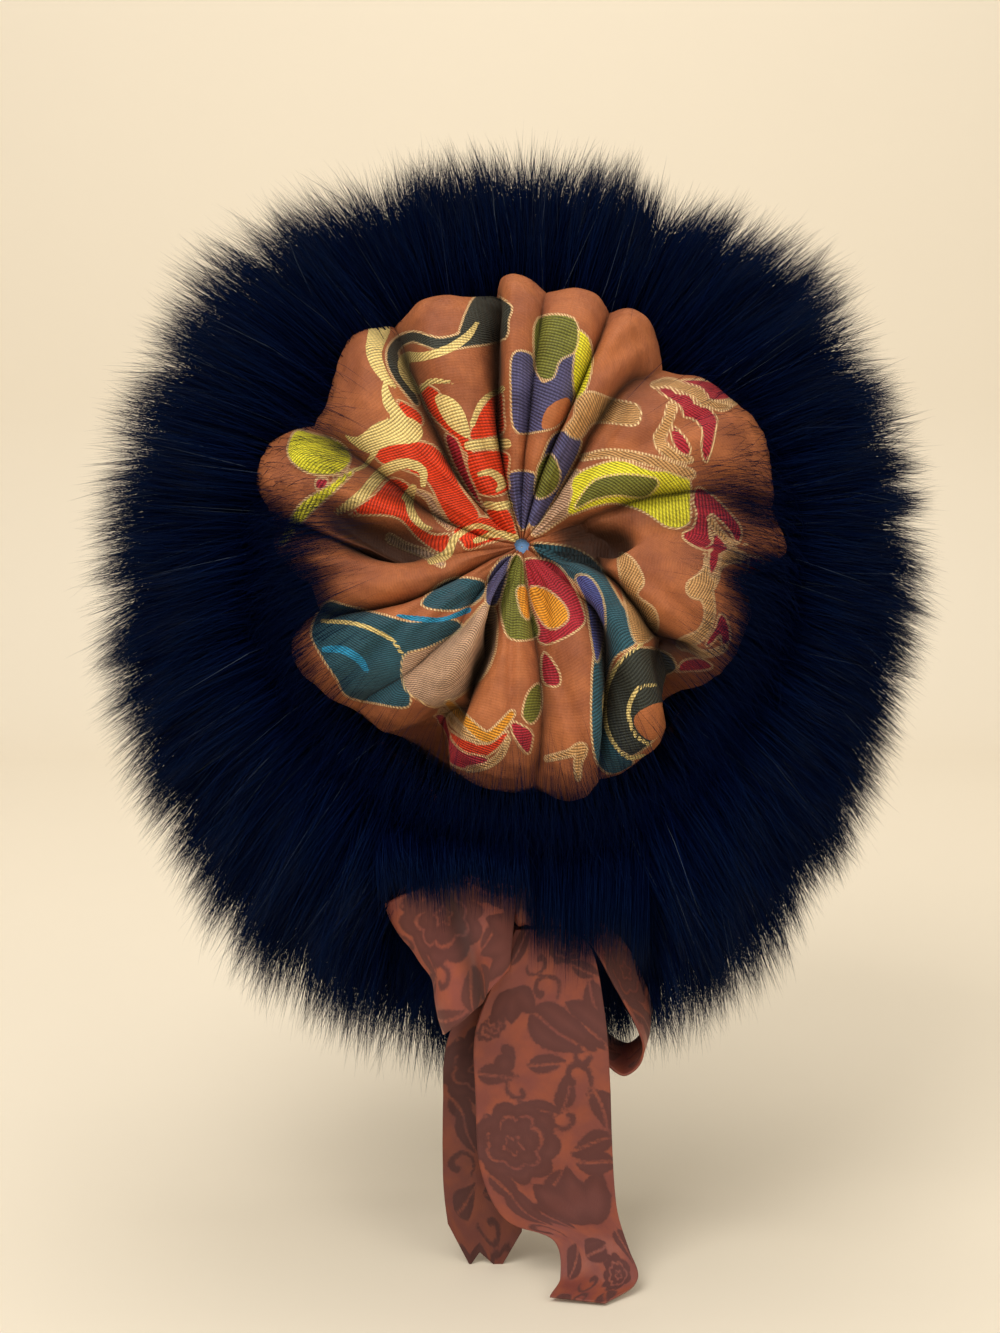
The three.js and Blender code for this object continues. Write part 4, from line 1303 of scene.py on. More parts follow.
@dataclass(frozen=True)
class Lining:
    """Smooth lining dome inside the crown, a closed layer of cloth."""

    columns: int = 144
    rows: int = 40
    wall: float = 1.2
    apex: float = 123.4
    levels: tuple[Point2, ...] = ((1, 1), (62, 1), (88, 0.91), (105, 0.7), (117, 0.42), (122, 0.17))

    def build(self) -> Piece:
        """Makes the outer and inner faces with a turned edge at the head opening."""
        table = np.array([*self.levels, (self.apex, 0.004)], dtype=float)
        height, share = spline(table, np.linspace(0, len(table) - 1, self.rows)).T
        share = np.clip(share, 0.004, 1.0)
        half = np.array([BAND_HALF_WIDTH, BAND_HALF_HEIGHT]) - CROWN_WALL - SEAT_GAP
        slope = unit(np.stack([np.gradient(height), -np.gradient(share * half[0])], axis=-1))
        angle = np.linspace(0, 2 * math.pi, self.columns, endpoint=False)
        faces = []
        share = share[:, None]
        for inset in (0.0, self.wall):
            inward = slope[:, :1] * inset
            x = np.maximum(half[0] * share - inward, 0.05) * np.cos(angle)
            y = OPENING_CENTRE_Y * share + np.maximum(half[1] * share - inward, 0.05) * np.sin(angle)
            z = np.broadcast_to((height - slope[:, 1] * inset)[:, None], x.shape)
            faces.append(np.stack([x, y, z], axis=-1))
        points = np.concatenate([faces[0][::-1], faces[1]])
        faces = grid_faces(len(points), self.columns, True)
        return Piece("lining_cloth", to_world(points).reshape(-1, 3), faces)


@dataclass(frozen=True)
class Pelt:
    """Padded fur roll under the long hair."""

    sections: int = 200
    sides: int = 56

    def build(self) -> Piece:
        """Makes the roll with a slightly uneven skin."""
        angle = np.linspace(0, 2 * math.pi, self.sections, endpoint=False)
        place = np.linspace(0, 2 * math.pi, self.sides, endpoint=False)
        points = roll_point(angle[:, None], place[None, :], np.zeros((self.sections, self.sides)))
        inner = smooth((-np.cos(place) - 0.4) / 0.4)[None, :]
        lift = mix(soft_noise(points, 34.0, 21) * 0.7 - 0.9, 0.3, inner)
        points = roll_point(angle[:, None], place[None, :], lift)
        around = np.concatenate([points, points[:1]])
        faces = grid_faces(len(around), self.sides, True)
        return Piece("pelt_roll", to_world(around).reshape(-1, 3), faces)


class Ornament(Enum):
    """Figures of the damask repeat."""

    PEONY = "peony"
    TULIP = "tulip"
    LEAF = "leaf"
    TENDRIL = "tendril"
    BUD = "bud"


@dataclass(frozen=True)
class Sprig:
    """One figure on the damask.

    Args:
        kind: which figure.
        across: place across the ribbon.
        along: place along the repeat.
        turn: heading in degrees, 0 along the ribbon.
        size: half its length.
    """

    kind: Ornament
    across: float
    along: float
    turn: float
    size: float

    def distance(self, places: Array) -> Array:
        """Measures the figure.

        Args:
            places: points across and along the ribbon, (..., 2).
        Returns:
            Signed distance to the figure, about in millimetres, negative inside.
        """
        turn = math.radians(self.turn)
        offset = places - (self.across, self.along)
        ahead = offset[..., 0] * math.sin(turn) + offset[..., 1] * math.cos(turn)
        aside = offset[..., 0] * math.cos(turn) - offset[..., 1] * math.sin(turn)
        if self.kind is Ornament.PEONY:
            return self.peony(ahead, aside)
        if self.kind is Ornament.TULIP:
            petals = [self.leaf(ahead, aside, spread, self.size) for spread in (-34, 0, 34)]
            return np.minimum.reduce(petals)
        if self.kind is Ornament.TENDRIL:
            return self.tendril(ahead, aside)
        if self.kind is Ornament.BUD:
            ball = np.hypot(ahead - self.size * 0.4, aside) - self.size * 0.45
            return np.minimum(ball, self.leaf(ahead + self.size * 0.4, aside, 25, self.size * 0.6))
        vein = 0.55 - np.abs(aside - 0.1 * ahead)
        return np.maximum(self.leaf(ahead + self.size * 0.5, aside, 0, self.size), vein)

    def peony(self, ahead: Array, aside: Array) -> Array:
        """Round bloom with a scalloped rim and rings of petals.

        Args:
            ahead: distance from its middle along its heading.
            aside: distance from its middle across its heading.
        Returns:
            Signed distance to it.
        """
        angle = np.arctan2(aside, ahead)
        reach = np.hypot(ahead, aside)
        scallop = np.abs(np.cos(4.5 * angle))
        rim = reach - self.size * (0.84 + 0.16 * scallop)
        inner = np.abs(reach - self.size * (0.5 + 0.13 * np.abs(np.cos(3.5 * angle + 0.4)))) - 0.55
        core = np.abs(reach - self.size * (0.2 + 0.05 * np.cos(5 * angle))) - 0.55
        return np.maximum(rim, np.maximum(-inner, -core))

    def leaf(self, ahead: Array, aside: Array, spread: float, size: float) -> Array:
        """Pointed leaf that starts at the origin.

        Args:
            ahead: distance from the origin along the figure's heading.
            aside: distance from the origin across it.
            spread: angle at which the leaf heads off, in degrees.
            size: of the leaf.
        Returns:
            Signed distance to it.
        """
        lean = math.radians(spread)
        forward = ahead * math.cos(lean) + aside * math.sin(lean)
        sideways = aside * math.cos(lean) - ahead * math.sin(lean)
        share = np.clip(forward / (size * 1.5), 0, 1)
        width = size * 0.42 * np.sin(math.pi * share**0.8) ** 0.8
        past = np.maximum(-forward, forward - size * 1.5)
        return np.maximum(np.abs(sideways - 0.12 * forward) - width, past * 0.7)

    def tendril(self, ahead: Array, aside: Array) -> Array:
        """Curled stem with a small ball at its end.

        Args:
            ahead: distance from its middle along its heading.
            aside: distance from its middle across its heading.
        Returns:
            Signed distance to it.
        """
        turns = np.linspace(0, 1, 26)
        curl = 0.4 + 4.9 * turns
        reach = self.size * (1 - 0.78 * turns)
        x, y = reach * np.sin(curl), reach * np.cos(curl)
        nearest = np.full(ahead.shape, np.inf)
        for px, py, share in zip(x, y, turns):
            thickness = self.size * (0.1 + 0.1 * share)
            nearest = np.minimum(nearest, np.hypot(aside - px, ahead - py) - thickness)
        return nearest


REPEAT_LENGTH = 158.0

# The damask repeat of the ribbon as the front tail shows it, from the knot down
SPRIGS = (
    Sprig(Ornament.LEAF, 33, 46, 44, 25), Sprig(Ornament.LEAF, 48, 45, 30, 22),
    Sprig(Ornament.LEAF, 56, 36, 10, 13), Sprig(Ornament.BUD, 14, 57, 8, 11),
    Sprig(Ornament.PEONY, 7, 44, 0, 7), Sprig(Ornament.TENDRIL, 45, 71, 10, 9.5),
    Sprig(Ornament.TENDRIL, 19, 75, 150, 7), Sprig(Ornament.LEAF, 7, 66, 70, 12),
    Sprig(Ornament.LEAF, 26, 84, 65, 13), Sprig(Ornament.LEAF, 40, 80, 160, 12),
    Sprig(Ornament.LEAF, 33, 118, -40, 13), Sprig(Ornament.TENDRIL, 50, 62, 100, 8),
    Sprig(Ornament.LEAF, 4, 90, 10, 11), Sprig(Ornament.TENDRIL, 30, 30, 40, 9),
    Sprig(Ornament.LEAF, 6, 118, 30, 12), Sprig(Ornament.LEAF, 46, 126, 200, 13),
    Sprig(Ornament.LEAF, 30, 64, 80, 11), Sprig(Ornament.LEAF, 55, 84, 5, 14),
    Sprig(Ornament.TENDRIL, 40, 90, 190, 8), Sprig(Ornament.PEONY, 17, 99, 0, 20),
    Sprig(Ornament.LEAF, 54, 101, -80, 14), Sprig(Ornament.LEAF, 56, 111, -105, 12),
    Sprig(Ornament.TULIP, 42, 141, 180, 20), Sprig(Ornament.LEAF, 12, 128, 20, 16),
    Sprig(Ornament.LEAF, 22, 133, 30, 13), Sprig(Ornament.TENDRIL, 8, 145, 30, 8),
    Sprig(Ornament.LEAF, 57, 150, 0, 14), Sprig(Ornament.LEAF, 30, 158, 100, 16),
    Sprig(Ornament.PEONY, 44, 168, 0, 11), Sprig(Ornament.LEAF, 10, 166, 140, 14),
    Sprig(Ornament.TENDRIL, 26, 174, 250, 8), Sprig(Ornament.BUD, 55, 128, 190, 7),
    Sprig(Ornament.TULIP, 14, 26, 0, 12), Sprig(Ornament.LEAF, 50, 182, 60, 11),
)


def damask_distance(across: Array, along: Array) -> Array:
    """Measures the damask's figures.

    Args:
        across: place across the ribbon, in millimetres.
        along: place along it.
    Returns:
        Signed distance to the nearest figure of the repeat, negative inside.
    """
    flat = np.stack([across, along, 0 * across], axis=-1)
    across = across + 0.9 * soft_noise(flat, 22.0, 71)
    along = along + 0.9 * soft_noise(flat, 22.0, 73)
    places = np.stack([across, np.mod(along - 28, REPEAT_LENGTH) + 28], axis=-1)
    nearest = np.full(across.shape, 6.0)
    for sprig in SPRIGS:
        for shift in (-REPEAT_LENGTH, 0.0, REPEAT_LENGTH):
            nearest = np.minimum(nearest, sprig.distance(places - (0.0, shift)))
    return nearest


@dataclass(frozen=True)
class Cloth:
    """A length of ribbon as a thin closed slab.

    Args:
        name: name of the piece.
        thickness: of the cloth.
        width: real width of the ribbon.
        tone: painted light, how bright the cloth lies in the light.
        start: place along the repeat where the length begins.
        fold: place along it of a pressed fold, its half width and how much darker it lies in painted shade,
            which also sets how deep it presses.
    """

    name: str
    thickness: float = 0.8
    width: float = 60.0
    tone: float = 1.0
    start: float = 0.0
    fold: Point3 = (0.5, 0.1, 0.0)

    def folded(self, rows: int) -> Array:
        """How far each row lies in the fold, 0 to 1."""
        middle, half_width, _ = self.fold
        return np.exp(-(((np.linspace(0, 1, rows) - middle) / half_width) ** 2))

    def build(self, grid: Array) -> Piece:
        """Thickens the cloth and stores its coordinates.

        Args:
            grid: points of its middle surface, (rows, columns, 3).
        Returns:
            The closed piece.
        """
        rows, columns = grid.shape[:2]
        normal = unit(np.cross(np.gradient(grid, axis=0), np.gradient(grid, axis=1)))
        steps = np.linalg.norm(np.diff(grid, axis=0), axis=-1).mean(axis=1)
        along = np.concatenate([[0.0], np.cumsum(steps)]) + self.start
        along = np.broadcast_to(along[:, None], (rows, columns))
        across = np.broadcast_to(np.linspace(0, self.width, columns)[None, :], (rows, columns))
        half = np.full((rows, columns, 1), self.thickness / 2)
        half[:, 0] = half[:, -1] = self.thickness / 2 + 0.12
        front = grid + normal * half
        back = grid - normal * half
        ring = np.concatenate([front, back[:, ::-1]], axis=1)
        column = np.arange(columns - 1)
        cap = np.stack([column, column + 1, 2 * columns - 2 - column, 2 * columns - 1 - column], axis=-1)
        faces = [grid_faces(rows, 2 * columns, True), cap[:, ::-1], cap + (rows - 1) * 2 * columns]
        piece = Piece(self.name, ring.reshape(-1, 3), np.concatenate(faces))
        figure = damask_distance(across, along)
        # Painted shade along the pressed fold.
        shadow = 1 - self.fold[2] * self.folded(rows)
        tone = self.tone * np.broadcast_to(shadow[:, None], (rows, columns))
        for name, values in {"across": across, "along": along, "figure": figure, "tone": tone}.items():
            piece.attribute(name, np.concatenate([values, values[:, ::-1]], axis=1))
        u = np.concatenate([np.linspace(0, 0.49, columns), np.linspace(0.51, 1, columns)])
        v = np.linspace(0, 1, rows)
        piece.bake_map(np.stack(np.meshgrid(u, v), axis=-1).reshape(-1, 2))
        return piece


@dataclass(frozen=True)
class Ribbon:
    """A hanging length of ribbon through its stations.

    Args:
        cloth: the slab it is made of.
        stations: both edges of the cloth at each station, in order along it.
        node: CAD node that it stands for.
        cut: real length of the piece of ribbon, in millimetres, not used.
        wave: height of the soft waves across it.
        ripple: height of the small dents.
        rows: points along it.
        columns: points across it.
        fold_depth: how far the pressed fold moves the cloth.
        cut_end: drop of a notched end below the last station, by share across.
    """

    cloth: Cloth
    stations: tuple[tuple[Point3, Point3], ...]
    node: str
    cut: float
    wave: float = 1.2
    ripple: float = 0.7
    rows: int = 190
    columns: int = 56
    fold_depth: float = -4.0
    cut_end: tuple[Point2, ...] = ()

    def grid(self) -> Array:
        """Middle surface of the cloth."""
        table = np.array(self.stations, dtype=float)
        places = np.linspace(0, len(table) - 1, self.rows)
        upper = spline(table[:, 0], places)
        lower = spline(table[:, 1], places)
        share = np.linspace(0, 1, self.columns)
        points = upper[:, None] * (1 - share)[None, :, None] + lower[:, None] * share[None, :, None]
        travel = np.linspace(0, 1, self.rows)
        fade = smooth(travel * 5) * smooth((1 - travel) * 5)
        normal = unit(np.cross(np.gradient(points, axis=0), np.gradient(points, axis=1)))
        station = places * 2
        bend = self.wave * np.sin(2 * math.pi * share[None, :] + station[:, None] * 0.7)
        seed = sum(map(ord, self.node))
        dents = soft_noise(points, 30.0, seed) + 0.3 * soft_noise(points, 11.0, seed + 1)
        lift = (bend + self.ripple * dents) * fade[:, None]
        lift = lift + self.fold_depth * (self.cloth.fold[2] * self.cloth.folded(self.rows))[:, None]
        points = points + normal * lift[..., None]
        if self.cut_end:
            keys, drops = np.array(self.cut_end, dtype=float).T
            drop = np.interp(share, keys, drops)
            points[..., 2] -= drop[None, :] * smooth((travel - 0.72) / 0.28)[:, None] ** 1.5
        return points

    def build(self, material: bpy.types.Material) -> bpy.types.Object:
        """Args:
            material: the ribbon's finish.
        Returns:
            The object in the scene.
        """
        made = self.cloth.build(self.grid()).dress(material, "ribbon", self.node)
        return made


# Each length's tone is painted light: the left loop lies lit, and the right loop and the back tail lie in
# painted shade.
LEFT_LOOP = Ribbon(
    Cloth("bow_left_cloth", tone=1.22, start=20, fold=(0.8, 0.035, 0.6)),
    (
        ((-5.6, -156, -109), (-5.6, -157, -127)), ((-27, -157, -103), (-15, -160, -149)),
        ((-50, -157, -109), (-28, -163, -166)), ((-59, -163, -116), (-33, -169, -174)),
        ((-51, -171, -110), (-28, -179, -167)), ((-29, -173, -102), (-16, -177, -156)),
        ((-2, -161.8, -106), (-6, -164, -147)),
    ),
    node="bow_loop_left", cut=120, wave=3.2,
)
RIGHT_LOOP = Ribbon(
    Cloth("bow_right_cloth", tone=0.92, width=28.0, start=60),
    (
        ((21.6, -159, -124), (21.6, -154, -120)), ((34, -161, -142), (42, -149, -134)),
        ((47, -161, -166), (55, -142, -158)), ((55, -160, -187), (60, -134, -180)),
        ((46, -158, -199), (50, -130, -194)), ((33, -156, -186), (35, -136, -180)),
        ((25, -155, -158), (26, -144, -152)),
    ),
    node="bow_loop_right", cut=120, wave=0.4, ripple=0.4,
)
FRONT_TAIL = Ribbon(
    Cloth("tail_front_cloth", tone=1.0),
    (
        ((-3, -157, -130.6), (19, -156, -130.6)), ((-10, -161, -147), (31, -160, -139)),
        ((-21, -162, -176), (37, -163, -168)), ((-21, -164, -207), (39.5, -165, -200)),
        ((-19, -166, -239), (41, -166, -236)), ((-8, -168, -262), (43, -169, -258)),
        ((14, -172, -271), (48, -175, -274)), ((17, -182, -283), (51, -185, -284)),
        ((12, -194, -287), (36, -198, -288)),
    ),
    node="tail_front", cut=175,
)
BACK_TAIL = Ribbon(
    Cloth("tail_back_cloth", tone=0.66, width=44.0, start=30),
    (
        ((-3, -150, -130.6), (19, -150, -130.6)), ((-20, -152, -152), (22, -151, -150)),
        ((-34, -154, -184), (12, -153, -182)), ((-36, -155, -214), (4, -154, -212)),
        ((-36, -156, -250), (1, -155, -248)), ((-34, -156, -270), (0, -156, -272)),
    ),
    node="tail_back", cut=150, wave=1.0, cut_end=((0, 0), (0.3, 20), (0.43, 13), (0.7, 21), (1, 2)),
)


@dataclass(frozen=True)
class RibbonBand:
    """The ribbon's stretch in the groove between crown and fur, which rides up to the knot at the nape."""

    knot_x: float = 8.0
    knot_half_width: float = 13.4
    groove_place: float = 121.0
    groove_lift: float = 2.0
    knot_place: float = 70.0
    knot_lift: float = 16.2
    half_angle: float = 11.5
    rise_angle: float = 34.0
    rows: int = 260
    columns: int = 14

    def build(self, material: bpy.types.Material) -> bpy.types.Object:
        """Args:
            material: the ribbon's finish.
        Returns:
            The object in the scene.
        """
        reach = BAND_HALF_WIDTH + ROLL_HALF_WIDTH + self.knot_lift
        start = -math.acos((self.knot_x + self.knot_half_width) / reach)
        end = 2 * math.pi - math.acos((self.knot_x - self.knot_half_width) / reach)
        angle = np.linspace(start, end, self.rows)
        nape = -math.pi / 2
        apart = np.minimum(np.abs(angle - nape), np.abs(angle - nape - 2 * math.pi))
        rise = np.maximum(0, 1 - apart / math.radians(self.rise_angle)) ** 1.3
        share = np.minimum(1, rise * 1.25)[:, None]
        across = np.linspace(-self.half_angle, self.half_angle, self.columns)[None, :]
        place = np.radians(mix(self.groove_place, self.knot_place, share) + across)
        lift = mix(self.groove_lift, self.knot_lift, share) + 0.0 * across
        grid = to_world(roll_point(np.broadcast_to(angle[:, None], place.shape), place, lift))
        grid = grid + soft_noise(grid, 18.0, 31)[..., None] * 0.15
        cloth = Cloth("band_cloth", thickness=1.0, width=20.0).build(grid)
        made = cloth.dress(material, "ribbon", "ribbon_band")
        return made


@dataclass(frozen=True)
class Knot:
    """The bow's knot: ribbon wrapped over the middle in soft pleats."""

    centre: Point3 = (8.0, -153.0, -118.0)
    width: float = 26.0
    depth: float = 14.0
    height: float = 24.0
    rows: int = 60
    columns: int = 96

    def build(self, material: bpy.types.Material) -> bpy.types.Object:
        """Makes the wrapped knot with pleats round it and closed sides.

        Args:
            material: the ribbon's finish.
        Returns:
            The object in the scene.
        """
        travel = np.linspace(-1, 1, self.rows)[:, None]
        angle = np.linspace(0, 2 * math.pi, self.columns, endpoint=False)[None, :]
        close = np.sqrt(np.clip(1 - np.abs(travel) ** 9, 0.0, 1))
        swell = (0.9 + 0.1 * np.abs(travel) * (2 - np.abs(travel))) * close
        pleats = 1 + 0.035 * np.sin(travel * 13 + 1.4 * np.sin(angle)) * close
        y = np.sign(np.cos(angle)) * np.abs(np.cos(angle)) ** 0.7 * self.depth / 2 * swell * pleats
        z = np.sign(np.sin(angle)) * np.abs(np.sin(angle)) ** 0.7 * self.height / 2 * swell * pleats
        x = np.broadcast_to(travel * self.width / 2, y.shape)
        points = np.stack([x, y, z], axis=-1) + self.centre
        made = Piece("knot_cloth", points.reshape(-1, 3), grid_faces(self.rows, self.columns, True))
        across = np.broadcast_to(travel * 13 + 30, y.shape)
        along = np.broadcast_to(angle * 12, y.shape)
        made.attribute("across", across)
        made.attribute("along", along)
        made.attribute("figure", damask_distance(across, along))
        # Painted light: the knot lies a little darker than a length in full light.
        made.attribute("tone", np.full(y.shape, 0.95))
        return made.dress(material, "ribbon", "bow_knot")

# Reach of the fur's outline from the crown axis, by angle in degrees
FUR_OUTLINE = (
    (0, 208), (28, 217), (44, 233), (60, 228), (68, 219), (77, 228), (105, 228), (137, 240), (153, 228),
    (184, 217), (214, 222), (240, 242), (262, 247), (284, 241), (298, 237), (313, 216), (341, 203),
)

# Lie of the fur by place round the roll's section: share of the outline's reach, and lean to the crown side
FUR_LIE = (
    (-110, 0.72, -26), (-72, 0.84, -24), (-36, 0.95, -14), (0, 1, 3), (36, 0.97, 20), (74, 0.88, 34),
    (105, 0.79, 38), (140, 0.70, 40),
)


@dataclass(frozen=True)
class Shafts:
    """A set of hairs as points along each, and how they look."""

    points: Array
    width: Array
    shade: Array
    taper: float = 0.7

    def piece(self, name: str, seed: int) -> Piece:
        """Turns the hairs into thin tapering strips that each end in a point.

        Args:
            name: of the piece.
            seed: for the way each strip faces.
        Returns:
            The piece, with the place along each hair and its shade stored.
        """
        count, knots = self.points.shape[:2]
        along = np.linspace(0, 1, knots)
        forward = unit(np.gradient(self.points, axis=1))
        random = np.random.default_rng(seed)
        side = unit(np.cross(forward, random.normal(size=(count, 1, 3))))
        taper = (1 - along**3 * self.taper)[None, :, None]
        half = side * self.width[:, None, None] / 2 * taper
        left = (self.points - half)[:, :-1]
        right = (self.points + half)[:, :-1]
        body = np.stack([left, right], axis=2).reshape(count, -1, 3)
        points = np.concatenate([body, self.points[:, -1:]], axis=1)
        size = points.shape[1]
        pattern = []
        for knot in range(knots - 2):
            low = 2 * knot
            pattern += [(low, low + 1, low + 3), (low, low + 3, low + 2)]
        pattern.append((size - 3, size - 2, size - 1))
        faces = np.arange(count)[:, None, None] * size + np.array(pattern)[None]
        made = Piece(name, points.reshape(-1, 3), faces.reshape(-1, 3))
        run = np.concatenate([np.repeat(along[:-1], 2), along[-1:]])
        run = np.broadcast_to(run[None, :], (count, size))
        shade = np.broadcast_to(self.shade[:, None], (count, size))
        made.attribute("along", run)
        made.attribute("shade", shade)
        across = np.concatenate([np.tile([0.0, 0.006], knots - 1), [0.003]])
        made.bake_map(np.stack([shade * 0.99 + across, run], axis=-1).reshape(-1, 2))
        return made

    def part(self, start: int, stop: int) -> "Shafts":
        """Hairs from start to stop."""
        return Shafts(self.points[start:stop], self.width[start:stop], self.shade[start:stop])


def hair_curves(root: Array, bend: Array, tip: Array, knots: int) -> tuple[Array, Array]:
    """Bends each hair from root to tip past a point that pulls it.

    Args:
        root: of each hair, (hairs, 3).
        bend: the point that pulls it.
        tip: of each hair.
        knots: points along each.
    Returns:
        Share along a hair at each knot, and points of shape (hairs, knots, 3).
    """
    along = np.linspace(0, 1, knots)[None, :, None]
    before, after = (1 - along) ** 2 * root[:, None], along**2 * tip[:, None]
    return along, before + 2 * along * (1 - along) * bend[:, None] + after


@dataclass(frozen=True)
class Veil:
    """Hairs that hang from under the crown over the top of the bow."""

    count: int = 5200
    knots: int = 5
    left: float = -66.0
    right: float = 58.0
    parting: float = -3.0
    left_hem: float = -104.0
    right_hem: float = -136.0
    left_front: float = -183.0
    right_front: float = -170.0

    def hairs(self) -> Array:
        """Points along each hair."""
        random = np.random.default_rng(77)
        count = self.count
        x = random.uniform(self.left, self.right, count)
        root = np.stack([x, random.uniform(-134, -118, count), random.uniform(-92, -76, count)], axis=-1)
        right = smooth((x - self.parting) / 8.0)
        swing = 4.0 * np.sin(x * 0.19) + 2.5 * np.sin(x * 0.53 + 1.0)
        hem = mix(self.left_hem, self.right_hem, right) + swing
        hem = hem + random.normal(0, 3.5, count) - 13 * random.random(count) ** 2
        tip_x = x * 0.93 + random.normal(0, 2.6, count)
        front = mix(self.left_front, self.right_front, right) + random.uniform(-2, 4, count)
        tip = np.stack([tip_x, front, hem], axis=-1)
        bend = np.stack([mix(x, tip_x, 0.4), front - 6, random.uniform(-92, -82, count)], axis=-1)
        return hair_curves(root, bend, tip, self.knots)[1]


@dataclass(frozen=True)
class Wisps:
    """Fine hairs that rise out of the groove and lie over the crown's edge, but not at its top.

    Args:
        count: number of hairs.
        knots: points along each.
        sectors: middle of each sector in degrees, its spread and its share of the hairs.
        rise: how far the tips stand above the roots.
        inward: how far the tips lie to the crown's middle.
        bend_rise: how far the bend stands above the roots.
    """

    count: int = 6600
    knots: int = 5
    sectors: tuple[Point3, ...] = ((182, 17, 0.34), (-4, 20, 0.4), (268, 24, 0.26))
    rise: Point2 = (50, 68)
    inward: Point2 = (12, 56)
    bend_rise: float = 44.0

    def hairs(self) -> Array:
        """Points along each hair."""
        random = np.random.default_rng(91)
        count = self.count
        middle, spread, share = np.array(self.sectors, dtype=float).T
        sector = random.choice(len(middle), count, p=share)
        angle = np.radians(middle[sector] + random.normal(0, 1, count) * spread[sector])
        place = np.radians(random.uniform(64, 94, count))
        root = roll_point(angle, place, -1.0)
        radial = unit(root * (1, 1, 0))
        tip = root + np.stack([0 * angle, 0 * angle, random.uniform(*self.rise, count)], axis=-1)
        tip = tip - radial * random.uniform(*self.inward, count)[:, None]
        tip = tip + random.normal(0, 5, tip.shape)
        bend = root + radial * random.uniform(0, 6, count)[:, None] + (0, 0, self.bend_rise)
        return hair_curves(*(to_world(part) for part in (root, bend, tip)), self.knots)[1]


